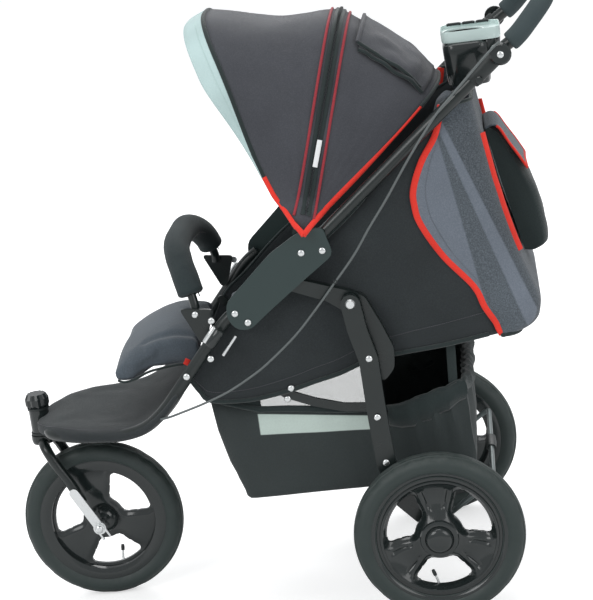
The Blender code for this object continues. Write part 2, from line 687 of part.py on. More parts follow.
def hood_skin(name, first, last, sag, lift=0.0, share=(0.010, 0.990), stations=4, pivot=HOOD_PIVOT):
    """The cloth between two bows, which hangs in by sag between them."""
    rows = []
    for station in range(stations + 1):
        t = station / stations
        angle = between(first[0], last[0], t)
        reach = between(first[1], last[1], t) - sag * math.sin(math.pi * t) + lift
        rows.append(hood_arch(angle, reach, HOOD_HALF_WIDTH, *share))
    return sheet(name, rows, HOOD_THICKNESS, "charcoal_fabric", pivot)


def make_hood():
    for label, (angle, reach) in {"rear": REAR_BOW, "middle": MIDDLE_BOW, "front": FRONT_BOW}.items():
        narrower = BOW_INSET + (REAR_BOW_EXTRA_INSET if label == "rear" else 0)
        arch = hood_arch(angle, reach - BOW_INSET, HOOD_HALF_WIDTH - narrower, 0.03, 0.97, 18)
        sweep(f"hood_{label}_bow", arch, 0.005, "black_tube", sides=8, pivot=HOOD_PIVOT)
    hood_skin("hood_rear_cloth", (REAR_BOW[0] - 3, REAR_BOW[1]), (MIDDLE_BOW[0] - 0.6, MIDDLE_BOW[1]), 0.012)
    hood_skin("hood_front_cloth", (MIDDLE_BOW[0] + 0.6, MIDDLE_BOW[1]), FRONT_BOW, 0.030)
    hood_skin("roof_flap", (REAR_BOW[0] + 2, REAR_BOW[1]), (MIDDLE_BOW[0] - 4, MIDDLE_BOW[1]), 0.012, 0.014, (0.26, 0.74))
    make_visor()


def make_visor():
    """A pale peak in front of the front bow, widest over the top and closing to a point at each side."""
    rows = []
    for station in range(4):
        t = station / 3
        row = []
        inner = hood_arch(FRONT_BOW[0] + 0.5, FRONT_BOW[1], HOOD_HALF_WIDTH, 0.07, 0.93)
        outer = hood_arch(FRONT_BOW[0] + 13, FRONT_BOW[1] - 0.018, HOOD_HALF_WIDTH, 0.07, 0.93)
        count = len(inner) - 1
        for index, (near, far) in enumerate(zip(inner, outer)):
            spread = 0.10 + 0.90 * math.sin(math.pi * index / count) ** 0.7
            row.append(near.lerp(far, t * spread))
        rows.append(row)
    sheet("hood_visor", rows, 0.005, "mint_trim", HOOD_PIVOT)


# ---- Basket and cable ---------------------------------------------------------------------------

def make_basket():
    """An open tub of cloth that hangs between the front tubes and the rear legs."""
    def ring(front, back, half_width, corner, height):
        points = []
        for centre_x, centre_y, start in (
            (back - corner, half_width - corner, 0), (front + corner, half_width - corner, 90),
            (front + corner, corner - half_width, 180), (back - corner, corner - half_width, 270),
        ):
            for step in range(4):
                turn = math.radians(start + 30 * step)
                x, y = centre_x + corner * math.cos(turn), centre_y + corner * math.sin(turn)
                points.append((x, y, height(x)))
        return points

    def rim(x):
        front_rise = max(0.0, (-0.03 - x) / 0.11) * 0.035
        rear_rise = max(0.0, (x - 0.18) / 0.15) * 0.045
        return 0.372 + front_rise + rear_rise

    levels = [
        (-0.094, 0.318, 0.160, 0.030, lambda x: 0.2235),
        (-0.104, 0.330, 0.166, 0.035, lambda x: 0.240),
        (-0.118, 0.331, 0.168, 0.035, lambda x: 0.300),
        (-0.134, 0.326, 0.166, 0.035, rim),
    ]
    shape = bmesh.new()
    rings = [[shape.verts.new(point) for point in ring(*level)] for level in levels]
    for lower, upper in zip(rings, rings[1:]):
        join_rings(shape, lower, upper)
    shape.faces.new(rings[0])
    basket = place("basket", shape, "charcoal_fabric")
    thicken = basket.modifiers.new("thickness", "SOLIDIFY")
    thicken.thickness = 0.004
    thicken.offset = -1.0


CABLE_ROUTE = [                         # from the left handle hub down to the front tube, held at both ends
    (0.4463, -0.2320, 1.0080), (0.4200, -0.2305, 0.9860), (0.3898, -0.2290, 0.9570), (0.3560, -0.2280, 0.9250),
    (0.3241, -0.2270, 0.8930), (0.2740, -0.2265, 0.8290), (0.2249, -0.2260, 0.7590), (0.1900, -0.2260, 0.7130),
    (0.1581, -0.2260, 0.6680), (0.1190, -0.2260, 0.6230), (0.0800, -0.2260, 0.5790), (0.0365, -0.2260, 0.5340),
    (-0.0189, -0.2255, 0.4890), (-0.0550, -0.2250, 0.4660), (-0.0947, -0.2240, 0.4450), (-0.1400, -0.2230, 0.4280),
    (-0.1856, -0.2205, 0.4140), (-0.2040, -0.2150, 0.4075), (-0.2140, -0.2110, 0.4045), (-0.2240, -0.2070, 0.4020),
]
CABLE_RADIUS = 0.0022


def make_cable():
    curve = bpy.data.curves.new("brake_cable", "CURVE")
    curve.dimensions = "3D"
    curve.bevel_depth = CABLE_RADIUS
    curve.bevel_resolution = 2
    curve.use_fill_caps = True
    spline = curve.splines.new("POLY")
    points = smooth_curve(CABLE_ROUTE, 2)
    spline.points.add(len(points) - 1)
    for spot, point in zip(spline.points, points):
        spot.co = (*point, 1.0)
    curve.materials.append(material("cable"))
    cable = bpy.data.objects.new("brake_cable", curve)
    bpy.context.scene.collection.objects.link(cable)


def smooth_curve(points, steps):
    """A Catmull-Rom curve through the points."""
    points = [Vector(p) for p in points]
    padded = [points[0] * 2 - points[1]] + points + [points[-1] * 2 - points[-2]]
    made = []
    for a, b, c, d in zip(padded, padded[1:], padded[2:], padded[3:]):
        for step in range(steps):
            t = step / steps
            made.append(0.5 * (b * 2 + (c - a) * t + (a * 2 - b * 5 + c * 4 - d) * t ** 2 + (b * 3 - a - c * 3 + d) * t ** 3))
    made.append(points[-1])
    return made


def main():
    clear_scene()
    make_wheels()
    make_front_frame()
    make_latches()
    make_fork()
    make_swivel_knob()
    make_bumper()
    make_calf_rest()
    make_rear_legs()
    make_braces()
    make_foot_brake()
    make_upper_frame()
    make_handle()
    make_console()
    make_seat()
    make_hood()
    make_basket()
    make_cable()


main()
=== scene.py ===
"""Baby stroller, three wheels: the looks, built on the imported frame.

Metres, +Z up, the stroller faces -X and its left side is -Y.
"""

import math

import bmesh
import bpy
from bpy.props import FloatProperty, FloatVectorProperty, IntProperty, PointerProperty
from mathutils import Matrix, Vector, noise


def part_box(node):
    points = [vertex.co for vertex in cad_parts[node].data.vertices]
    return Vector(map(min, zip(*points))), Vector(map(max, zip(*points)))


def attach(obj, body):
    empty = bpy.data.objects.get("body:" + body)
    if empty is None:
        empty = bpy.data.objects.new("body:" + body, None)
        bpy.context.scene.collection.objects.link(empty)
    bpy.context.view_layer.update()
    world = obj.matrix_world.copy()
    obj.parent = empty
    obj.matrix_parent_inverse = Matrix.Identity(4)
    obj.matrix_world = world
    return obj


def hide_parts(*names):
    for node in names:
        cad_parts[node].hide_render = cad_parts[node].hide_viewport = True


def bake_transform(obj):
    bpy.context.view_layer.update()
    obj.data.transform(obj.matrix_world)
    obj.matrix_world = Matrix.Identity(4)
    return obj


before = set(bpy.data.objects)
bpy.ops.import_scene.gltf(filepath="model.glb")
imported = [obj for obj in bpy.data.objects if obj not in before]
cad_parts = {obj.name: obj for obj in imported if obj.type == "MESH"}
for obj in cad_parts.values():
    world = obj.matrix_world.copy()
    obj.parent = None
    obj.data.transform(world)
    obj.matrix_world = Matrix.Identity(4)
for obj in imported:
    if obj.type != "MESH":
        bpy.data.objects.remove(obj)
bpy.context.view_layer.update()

bl_info = {
    "name": "Three-wheeled stroller",
    "version": (1, 0, 0),
    "blender": (4, 5, 0),
    "location": "View3D > Sidebar > Stroller",
    "description": "Builds the stroller's wheels, frame, padding, hood and basket on its packed frame",
    "category": "Add Mesh",
}

SIDES = {"left": -1, "right": 1}

HOOD_PIVOT = Vector((0.073, 0.0, 0.711))
REAR_BOW = (42.0, 0.336)
MIDDLE_BOW = (74.0, 0.362)
FRONT_BOW = (110.0, 0.4)
HOOD_HALF_WIDTH = 0.186
FRONT_WHEEL = Vector((-0.3975, 0.0, 0.1525))
REAR_WHEEL = Vector((0.2478, 0.2604, 0.1525))
ZIP_ANGLE = 73.8
REAR_EDGE = REAR_BOW[0] - 3.0
ALONG_LATCH = Vector((-0.6392, 0, -0.769))
TUBE_SIDE = 0.205
TUBE_RADIUS = 0.011
RIVET_RADIUS, RIVET_HEIGHT = 0.0062, 0.0028
SHELL_HALF_WIDTH = 0.19
BRAKE_ROD_END = (0.352, 0.222)
THREADS = {
    "charcoal_thread": (0.12, 0.115, 0.13),
    "grey_thread": (0.1, 0.11, 0.12),
    "mint_thread": (0.45, 0.58, 0.55),
}


# ---- Sizes and colours a user may change --------------------------------------------------------

def length_property(name, description, default):
    return FloatProperty(name=name, description=description, default=default, min=0.0001, subtype="DISTANCE",
        unit="LENGTH")


def colour_property(name, description, default):
    return FloatVectorProperty(name=name, description=description, default=default, size=3, min=0, max=1,
        subtype="COLOR")


class StrollerSizes(bpy.types.PropertyGroup):
    piping: length_property("Piping", "Radius of the dull piping along the hood's zip", 0.0019)
    binding: length_property("Binding", "Half width of the bright binding on the wings and hood", 0.0062)
    cable: length_property("Cable", "Thickness of the brake cable", 0.0042)
    cloth: length_property("Cloth", "Thickness of the hood's and seat's cloth", 0.0022)
    stitch: length_property("Stitch", "Length of one stitch", 0.0034)
    webbing: length_property("Webbing", "Width of the harness webbing", 0.026)
    tread: length_property("Tread", "Depth of the tyre tread", 0.0011)
    zip_pitch: length_property("Zip pitch", "Distance between the teeth of the hood's zip", 0.0034)
    wheel_steps: IntProperty(name="Wheel steps", description="Facets round each wheel", default=120, min=24,
        max=240)


class StrollerColours(bpy.types.PropertyGroup):
    charcoal: colour_property("Charcoal cloth", "Hood", (0.054, 0.057, 0.066))
    dusk: colour_property("Dark cloth", "Seat sides and foot rest", (0.026, 0.031, 0.033))
    slate: colour_property("Slate cloth", "Calf rest, seat and back cushions", (0.074, 0.092, 0.108))
    heather: colour_property("Heather cloth", "Pale stripes of the wings", (0.13, 0.152, 0.185))
    black_cloth: colour_property("Black cloth", "Basket, pocket and bindings", (0.017, 0.026, 0.026))
    red: colour_property("Red binding", "Bindings of the wings, pocket and hood", (0.76, 0.035, 0.022))
    dull_red: colour_property("Dull red piping", "Piping beside the zip", (0.3, 0.03, 0.042))
    mint: colour_property("Mint trim", "Visor, tray and the basket's band", (0.45, 0.585, 0.58))
    paint: colour_property("Black paint", "Frame tubes", (0.007, 0.012, 0.0115))
    plate: colour_property("Plate grey", "Hinge plates", (0.022, 0.04, 0.039))
    plastic: colour_property("Black plastic", "Rims, cups and knobs", (0.013, 0.018, 0.018))
    rubber: colour_property("Tyre rubber", "Tyres", (0.022, 0.034, 0.032))
    foam: colour_property("Foam", "Handle grip", (0.038, 0.056, 0.06))
    steel: colour_property("Plated steel", "Rivets, axles and small fittings", (0.78, 0.8, 0.8))


# ---- Shader node groups -------------------------------------------------------------------------

def new_group(name, inputs, outputs):
    """A node group with named sockets; returns it with its input and output nodes."""
    group = bpy.data.node_groups.new(name, "ShaderNodeTree")
    for label, kind, default in inputs:
        socket = group.interface.new_socket(label, in_out="INPUT", socket_type=kind)
        if default is not None:
            socket.default_value = default
    for label, kind in outputs:
        group.interface.new_socket(label, in_out="OUTPUT", socket_type=kind)
    return group, group.nodes.new("NodeGroupInput"), group.nodes.new("NodeGroupOutput")


def feed(tree, socket, value):
    """Links a socket's value, or sets it where it is a number or colour."""
    if isinstance(value, bpy.types.NodeSocket):
        tree.links.new(value, socket)
    else:
        socket.default_value = value


def add_math(tree, operation, first, second=None, clamp=False):
    node = tree.nodes.new("ShaderNodeMath")
    node.operation = operation
    node.use_clamp = clamp
    feed(tree, node.inputs[0], first)
    if second is not None:
        feed(tree, node.inputs[1], second)
    return node.outputs[0]


def times(tree, first, second, clamp=False):
    return add_math(tree, "MULTIPLY", first, second, clamp)


def plus(tree, first, second, clamp=False):
    return add_math(tree, "ADD", first, second, clamp)


def add_noise(tree, coordinates, scale, detail=2.0, roughness=0.5):
    node = tree.nodes.new("ShaderNodeTexNoise")
    node.inputs["Detail"].default_value = detail
    node.inputs["Roughness"].default_value = roughness
    tree.links.new(coordinates, node.inputs["Vector"])
    feed(tree, node.inputs["Scale"], scale)
    return node.outputs["Fac"]


def add_mix(tree, share, first, second):
    node = tree.nodes.new("ShaderNodeMix")
    node.data_type = "RGBA"
    for socket, value in ((node.inputs[0], share), (node.inputs[6], first), (node.inputs[7], second)):
        feed(tree, socket, value)
    return node.outputs[2]


def add_range(tree, value, low, high, to_low=0.0, to_high=1.0):
    node = tree.nodes.new("ShaderNodeMapRange")
    tree.links.new(value, node.inputs[0])
    for socket, number in zip(node.inputs[1:5], (low, high, to_low, to_high)):
        socket.default_value = number
    return node.outputs[0]


def set_inputs(shader, **values):
    """Sets a shader's own sockets; a space in a socket's name is written as _."""
    for label, value in values.items():
        shader.inputs[label.replace("_", " ")].default_value = value


def link(tree, source, target, **sockets):
    """Links a node's named outputs to another node's inputs."""
    for label, into in sockets.items():
        tree.links.new(source.outputs[label], target.inputs[into])


def object_axes(tree):
    where = tree.nodes.new("ShaderNodeTexCoord").outputs["Object"]
    split = tree.nodes.new("ShaderNodeSeparateXYZ")
    tree.links.new(where, split.inputs[0])
    return where, split.outputs


def weave_group():
    """Crossed threads in the row's three directions, so that a weave shows on any surface."""
    group, given, result = new_group(
        "cloth_weave",
        [
            ("Colour", "NodeSocketColor", (0.1, 0.1, 0.1, 1)),
            ("Fleck Colour", "NodeSocketColor", (0.2, 0.2, 0.2, 1)),
            ("Fleck", "NodeSocketFloat", 0.1),
            ("Threads per metre", "NodeSocketFloat", 900.0),
            ("Relief", "NodeSocketFloat", 0.25),
        ],
        [("Colour", "NodeSocketColor"), ("Normal", "NodeSocketVector")],
    )
    where, axes = object_axes(group)
    turn = times(group, given.outputs["Threads per metre"], 2 * math.pi)
    waves = [add_math(group, "SINE", times(group, axis, turn)) for axis in axes]
    threads = plus(group, times(group, waves[0], waves[2]), times(group, waves[1], waves[2]))
    fleck = add_noise(group, where, 420.0, 3.0, 0.8)
    blotch = add_noise(group, where, 9.0, 2.0)
    share = times(group, add_range(group, fleck, 0.42, 0.7), given.outputs["Fleck"], clamp=True)
    mixed = add_mix(group, share, given.outputs["Colour"], given.outputs["Fleck Colour"])
    shade = group.nodes.new("ShaderNodeHueSaturation")
    group.links.new(mixed, shade.inputs["Color"])
    thread_shade = times(group, threads, 0.05)
    group.links.new(plus(group, add_range(group, blotch, 0.3, 0.7, 0.9, 1.1), thread_shade),
        shade.inputs["Value"])
    bump = group.nodes.new("ShaderNodeBump")
    bump.inputs["Distance"].default_value = 0.0004
    group.links.new(given.outputs["Relief"], bump.inputs["Strength"])
    soft = plus(group, threads, times(group, fleck, 1.4))
    group.links.new(soft, bump.inputs["Height"])
    group.links.new(shade.outputs[0], result.inputs["Colour"])
    group.links.new(bump.outputs[0], result.inputs["Normal"])
    return group


def grain_group():
    """The fine grain and uneven gloss of moulded plastic, rubber and paint."""
    group, given, result = new_group(
        "moulded_grain",
        [("Roughness", "NodeSocketFloat", 0.4), ("Spread", "NodeSocketFloat", 0.1),
            ("Grain per metre", "NodeSocketFloat", 700.0), ("Relief", "NodeSocketFloat", 0.1)],
        [("Roughness", "NodeSocketFloat"), ("Normal", "NodeSocketVector")],
    )
    where, _ = object_axes(group)
    patches = add_noise(group, where, 26.0, 3.0)
    grain = add_noise(group, where, given.outputs["Grain per metre"], 2.0)
    swing = times(group, add_range(group, patches, 0.3, 0.7, -1.0, 1.0), given.outputs["Spread"])
    group.links.new(plus(group, given.outputs["Roughness"], swing, clamp=True), result.inputs["Roughness"])
    bump = group.nodes.new("ShaderNodeBump")
    bump.inputs["Distance"].default_value = 0.0003
    group.links.new(given.outputs["Relief"], bump.inputs["Strength"])
    group.links.new(grain, bump.inputs["Height"])
    group.links.new(bump.outputs[0], result.inputs["Normal"])
    return group


def dust_group():
    """A little pale dust on what faces up, broken up by noise."""
    group, given, result = new_group(
        "settled_dust",
        [("Colour", "NodeSocketColor", (0.1, 0.1, 0.1, 1)), ("Amount", "NodeSocketFloat", 0.05)],
        [("Colour", "NodeSocketColor"), ("Mask", "NodeSocketFloat")],
    )
    where, _ = object_axes(group)
    facing = group.nodes.new("ShaderNodeSeparateXYZ")
    group.links.new(group.nodes.new("ShaderNodeNewGeometry").outputs["Normal"], facing.inputs[0])
    upward = add_range(group, facing.outputs[2], 0.1, 1.0)
    broken = add_range(group, add_noise(group, where, 55.0, 4.0, 0.7), 0.35, 0.75)
    mask = times(group, times(group, upward, broken), given.outputs["Amount"], clamp=True)
    group.links.new(add_mix(group, mask, given.outputs["Colour"], (0.42, 0.42, 0.4, 1)),
        result.inputs["Colour"])
    group.links.new(mask, result.inputs["Mask"])
    return group


GROUP_NAMES = {weave_group: "cloth_weave", grain_group: "moulded_grain", dust_group: "settled_dust"}


def place_group(tree, maker, **values):
    node = tree.nodes.new("ShaderNodeGroup")
    node.node_tree = bpy.data.node_groups.get(GROUP_NAMES[maker]) or maker()
    for label, value in values.items():
        is_colour = isinstance(value, tuple) and len(value) == 3
        feed(tree, node.inputs[label.replace("_", " ")], (*value, 1) if is_colour else value)
    return node


# ---- Materials ----------------------------------------------------------------------------------

def start_material(name):
    made = bpy.data.materials.new(name)
    made.use_nodes = True
    return made, made.node_tree, made.node_tree.nodes["Principled BSDF"]


def cloth_material(name, colour, fleck_colour=None, fleck=0.25, threads=850.0, relief=0.35, roughness=0.9,
        dust=0.03, sheen=0.25):
    found = bpy.data.materials.get(name)
    if found:
        return found
    made, tree, shader = start_material(name)
    lighter = tuple(min(1.0, c * 1.9 + 0.01) for c in colour)
    weave = place_group(tree, weave_group, Colour=tuple(colour), Fleck_Colour=tuple(fleck_colour or lighter),
        Fleck=fleck, Threads_per_metre=threads, Relief=relief)
    dusty = place_group(tree, dust_group, Colour=weave.outputs["Colour"], Amount=dust)
    link(tree, dusty, shader, Colour="Base Color")
    link(tree, weave, shader, Normal="Normal")
    set_inputs(shader, Roughness=roughness, Sheen_Weight=sheen, Sheen_Roughness=0.5, Specular_IOR_Level=0.2)
    return made


def hard_material(name, colour, roughness, metallic=0.0, coat=0.0, spread=0.06, grain=700.0, relief=0.08,
        dust=0.02):
    found = bpy.data.materials.get(name)
    if found:
        return found
    made, tree, shader = start_material(name)
    rough = place_group(tree, grain_group, Roughness=roughness, Spread=spread, Grain_per_metre=grain,
        Relief=relief)
    dusty = place_group(tree, dust_group, Colour=tuple(colour), Amount=dust)
    link(tree, dusty, shader, Colour="Base Color")
    link(tree, rough, shader, Roughness="Roughness", Normal="Normal")
    set_inputs(shader, Metallic=metallic, Coat_Weight=coat, Coat_Roughness=0.08)
    return made


def colours():
    return bpy.context.scene.stroller_colours


def sizes():
    return bpy.context.scene.stroller_sizes


def charcoal():
    return cloth_material("charcoal_cloth", colours().charcoal, fleck=0.3)


def dusk():
    return cloth_material("dark_cloth", colours().dusk, fleck=0.3, sheen=0.15)


def slate():
    return cloth_material("slate_cloth", colours().slate, colours().heather, 0.55, threads=700.0)


def black_cloth():
    return cloth_material("black_cloth", colours().black_cloth, fleck=0.25, roughness=0.75)


def red_binding():
    return cloth_material("red_binding", colours().red, (0.85, 0.12, 0.09), 0.25, 1100.0, 0.25, 0.7, 0.0, 0.1)


def dull_piping():
    return cloth_material("dull_red_piping", colours().dull_red, (0.5, 0.1, 0.1), 0.25, 1100.0, 0.25, 0.7,
        0.0, 0.1)


def mint_cloth():
    return cloth_material("mint_cloth", colours().mint, (0.72, 0.84, 0.8), 0.2, 900.0, 0.12, 0.65, 0.0, 0.1)


def black_paint():
    return hard_material("black_paint", colours().paint, 0.3, coat=0.15, spread=0.05)


def plate_paint():
    return hard_material("plate_grey", colours().plate, 0.42, spread=0.06, relief=0.12)


def gloss_plastic():
    return hard_material("gloss_black_plastic", colours().plastic, 0.17, coat=0.3, spread=0.04, relief=0.03)


def matt_plastic():
    return hard_material("matt_black_plastic", colours().plastic, 0.48, spread=0.06, relief=0.2)


def plated_steel():
    return hard_material("plated_steel", colours().steel, 0.27, metallic=1.0, spread=0.05, relief=0.05,
        dust=0.0)


def foam_skin():
    return hard_material("foam_skin", colours().foam, 0.8, spread=0.05, grain=500.0, relief=0.45, dust=0.03)


def tyre_rubber():
    return hard_material("tyre_rubber", colours().rubber, 0.55, spread=0.08, grain=420.0, relief=0.3,
        dust=0.1)


def mint_plastic():
    made = hard_material("mint_plastic", (0.52, 0.66, 0.63), 0.22, coat=0.4, spread=0.05, grain=300.0,
        relief=0.03)
    shader = made.node_tree.nodes["Principled BSDF"]
    set_inputs(shader, Subsurface_Weight=0.25, Subsurface_Radius=(0.01, 0.01, 0.01), Coat_Roughness=0.03)
    return made


def wing_cloth():
    """Slate cloth with two slanting heather stripes on each side and a plain dark back."""
    made, tree, shader = start_material("wing_cloth")
    where, axes = object_axes(tree)
    dark, pale = tuple(colours().slate), tuple(colours().heather)
    plain = tuple(c * 0.62 for c in dark)

    def edge(top_x, top_z, slope):
        """0 in front of a slanting line, 1 behind it."""
        line = plus(tree, times(tree, add_math(tree, "SUBTRACT", axes[2], top_z), slope), top_x)
        return add_range(tree, add_math(tree, "SUBTRACT", axes[0], line), -0.0015, 0.0015)

    first = add_mix(tree, edge(0.3258, 0.8364, -0.165), (*pale, 1), (*(c * 0.8 for c in dark), 1))
    second = add_mix(tree, edge(0.3335, 0.8417, -0.315), first, (*pale, 1))
    third = add_mix(tree, edge(0.3378, 0.8687, -0.361), second, (*plain, 1))
    split = tree.nodes.new("ShaderNodeSeparateXYZ")
    tree.links.new(tree.nodes.new("ShaderNodeNewGeometry").outputs["Normal"], split.inputs[0])
    outside = add_range(tree, add_math(tree, "ABSOLUTE", split.outputs[1]), 0.55, 0.65)
    side = add_mix(tree, outside, (*plain, 1), third)
    weave = place_group(tree, weave_group, Colour=side, Fleck_Colour=(0.24, 0.27, 0.31), Fleck=0.42,
        Threads_per_metre=650.0, Relief=0.35)
    link(tree, weave, shader, Colour="Base Color", Normal="Normal")
    set_inputs(shader, Roughness=0.92, Sheen_Weight=0.2)
    return made


def basket_cloth():
    """Black cloth with a pale mesh band along each side, taller on the right, where light shows through."""
    made, tree, shader = start_material("basket_cloth")
    where, axes = object_axes(tree)

    def past(line_height, slope, low=0.0, high=1.0):
        """0 below a line that falls towards the rear, 1 above it."""
        fall = times(tree, plus(tree, axes[0], 0.054), slope)
        return add_range(tree, plus(tree, axes[2], fall), line_height - 0.0008, line_height + 0.0008, low,
            high)

    stretch = times(tree, add_range(tree, axes[1], 0.0, 0.001), -0.034)
    ahead = add_math(tree, "SUBTRACT", axes[0], stretch)
    length = times(tree, add_range(tree, ahead, -0.056, -0.054),
        add_range(tree, axes[0], 0.15, 0.152, 1.0, 0.0))
    under_rim = past(0.38, 0.125, 1.0, 0.0)
    left = times(tree, add_range(tree, axes[1], -0.14, -0.138, 1.0, 0.0), past(0.34, 0.055))
    right = times(tree, add_range(tree, axes[1], 0.138, 0.14), add_range(tree, axes[2], 0.256, 0.258))
    sides = times(tree, plus(tree, left, right), times(tree, length, under_rim))
    cloth = add_mix(tree, sides, (*colours().black_cloth, 1), (0.53, 0.63, 0.58, 1))
    weave = place_group(tree, weave_group, Colour=cloth, Fleck_Colour=(0.1, 0.11, 0.11), Fleck=0.1,
        Threads_per_metre=600.0, Relief=0.4)
    link(tree, weave, shader, Colour="Base Color", Normal="Normal")
    open_mesh = times(tree, times(tree, right, 0.6), times(tree, length, under_rim))
    tree.links.new(add_math(tree, "SUBTRACT", 1.0, open_mesh), shader.inputs["Alpha"])
    set_inputs(shader, Roughness=0.7, Sheen_Weight=0.1)
    return made


# ---- Mesh tools ---------------------------------------------------------------------------------

def finish_piece(name, shape, paint, body, smooth_angle=45.0, replaces=()):
    """Turns a bmesh into a piece that rides on a body."""
    bmesh.ops.recalc_face_normals(shape, faces=shape.faces)
    mesh = bpy.data.meshes.new(name)
    shape.to_mesh(mesh)
    shape.free()
    mesh.shade_smooth()
    mesh.set_sharp_from_angle(angle=math.radians(smooth_angle))
    mesh.materials.append(paint)
    made = bpy.data.objects.new(name, mesh)
    bpy.context.scene.collection.objects.link(made)
    if body:
        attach(made, body)
    if replaces:
        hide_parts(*replaces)
    return made


def ring_faces(shape, ring, following):
    count = len(ring)
    for index in range(count):
        after = (index + 1) % count
        shape.faces.new((ring[index], ring[after], following[after], following[index]))


def loft(shape, rings, capped=True):
    """Faces from each ring to the next, with both ends closed unless capped is off."""
    for ring, following in zip(rings, rings[1:]):
        ring_faces(shape, ring, following)
    if capped:
        shape.faces.new(rings[0])
        shape.faces.new(rings[-1])


def both_sides(half):
    """A row across the object, from the half of it that lies on the right."""
    return [Vector((p.x, -p.y, p.z)) for p in half] + half[-2::-1]


def ray(angle):
    """The direction at this angle above the front-to-back line, seen from the side."""
    turn = math.radians(angle)
    return Vector((math.cos(turn), 0, math.sin(turn)))


def pairs(*names):
    return [f"{name}_{label}" for name in names for label in SIDES]


def smooth_path(points, steps=6):
    """A Catmull-Rom curve through the points."""
    points = [Vector(p) for p in points]
    padded = [points[0] * 2 - points[1]] + points + [points[-1] * 2 - points[-2]]
    made = []
    for a, b, c, d in zip(padded, padded[1:], padded[2:], padded[3:]):
        for step in range(steps):
            t = step / steps
            square, cube = (a * 2 - b * 5 + c * 4 - d) * t ** 2, (b * 3 - a - c * 3 + d) * t ** 3
            made.append(0.5 * (b * 2 + (c - a) * t + square + cube))
    made.append(points[-1])
    return made


def side_line(pairs_xz, steps=5):
    """A smooth curve through (x, z) pairs in the middle plane."""
    return smooth_path([(x, 0, z) for x, z in pairs_xz], steps)


def rounded_path(points, bend, steps=6):
    """A route with each inner corner turned into a curve."""
    points = [Vector(p) for p in points]
    route = [points[0]]
    for before, corner, after in zip(points, points[1:], points[2:]):
        reach = min(bend, (corner - before).length * 0.48, (after - corner).length * 0.48)
        start = corner + (before - corner).normalized() * reach
        end = corner + (after - corner).normalized() * reach
        for step in range(steps + 1):
            t = step / steps
            route.append(start * (1 - t) ** 2 + corner * (2 * t * (1 - t)) + end * t ** 2)
    route.append(points[-1])
    return route


def trimmed(route, length):
    """A route cut short by this length at both ends."""
    for _ in range(2):
        left = length
        while (route[1] - route[0]).length <= left:
            left -= (route[1] - route[0]).length
            route = route[1:]
        start = route[0] + (route[1] - route[0]).normalized() * left
        route = ([start] + route[1:])[::-1]
    return route


def around(route):
    """For each point of a route, the points before and after it."""
    return zip(route[:1] + route[:-1], route[1:] + route[-1:])


def sweep_frames(route, facing=None):
    """For each point of a route, two directions square to it; facing fixes the first where it is given."""
    tangents = [(after - before).normalized() for before, after in around(route)]
    guess = Vector((0, 1, 0)) if abs(tangents[0].y) < 0.9 else Vector((0, 0, 1))
    normal = (guess - tangents[0] * guess.dot(tangents[0])).normalized()
    frames = []
    for index, tangent in enumerate(tangents):
        if facing:
            normal = Vector(facing[index] if isinstance(facing, list) else facing)
        normal = (normal - tangent * normal.dot(tangent)).normalized()
        frames.append((normal, tangent.cross(normal)))
    return frames


def add_sweep(shape, route, radius, sides=14, depth=None, facing=None, closed=False):
    """A round or oval bar along a route, added to a bmesh.

    radius may be a list, one for each point; depth is the other half axis.
    """
    rings = []
    for index, (point, (first, second)) in enumerate(zip(route, sweep_frames(route, facing))):
        size = radius[index] if isinstance(radius, list) else radius
        other = size if depth is None else depth * (
            size / (radius[0] if isinstance(radius, list) else radius)
        )
        ring = []
        for side in range(sides):
            turn = 2 * math.pi * side / sides
            ring.append(
                shape.verts.new(point + first * (math.cos(turn) * other) + second * (math.sin(turn) * size))
            )
        rings.append(ring)
    loft(shape, rings, capped=not closed)
    if closed:
        ring_faces(shape, rings[-1], rings[0])


def sweep_piece(name, route, radius, paint, body, sides=16, depth=None, facing=None, replaces=()):
    shape = bmesh.new()
    add_sweep(shape, [Vector(p) for p in route], radius, sides, depth, facing)
    return finish_piece(name, shape, paint, body, 50.0, replaces)


def add_lathe(shape, profile, centre, steps=48, axis="Y", side=1, vary=None):
    """Turns (radius, height) pairs about an axis through centre, added to a bmesh.

    vary changes a radius by step and row.
    """
    columns = []
    hubs = {}
    for step in range(steps):
        turn = 2 * math.pi * step / steps
        column = []
        for row, (radius, height) in enumerate(profile):
            if radius < 1e-6:
                spot = Vector((0, height * side, 0)) if axis == "Y" else Vector((0, 0, height))
                if row not in hubs:
                    hubs[row] = shape.verts.new(Vector(centre) + spot)
                column.append(hubs[row])
                continue
            size = radius + (vary(step, row) if vary else 0.0)
            across, up = size * math.cos(turn), size * math.sin(turn)
            spot = Vector((across, height * side, up)) if axis == "Y" else Vector((across, up, height))
            column.append(shape.verts.new(Vector(centre) + spot))
        columns.append(column)
    for step, column in enumerate(columns):
        following = columns[(step + 1) % steps]
        for row in range(len(profile)):
            after = (row + 1) % len(profile)
            corners = []
            for corner in (column[row], column[after], following[after], following[row]):
                if corner not in corners:
                    corners.append(corner)
            if len(corners) > 2:
                shape.faces.new(corners)


def lathe_piece(name, profile, centre, paint, body, steps=48, axis="Y", side=1, replaces=(),
        vary=None):
    shape = bmesh.new()
    add_lathe(shape, profile, centre, steps, axis, side, vary)
    return finish_piece(name, shape, paint, body, 38.0, replaces)


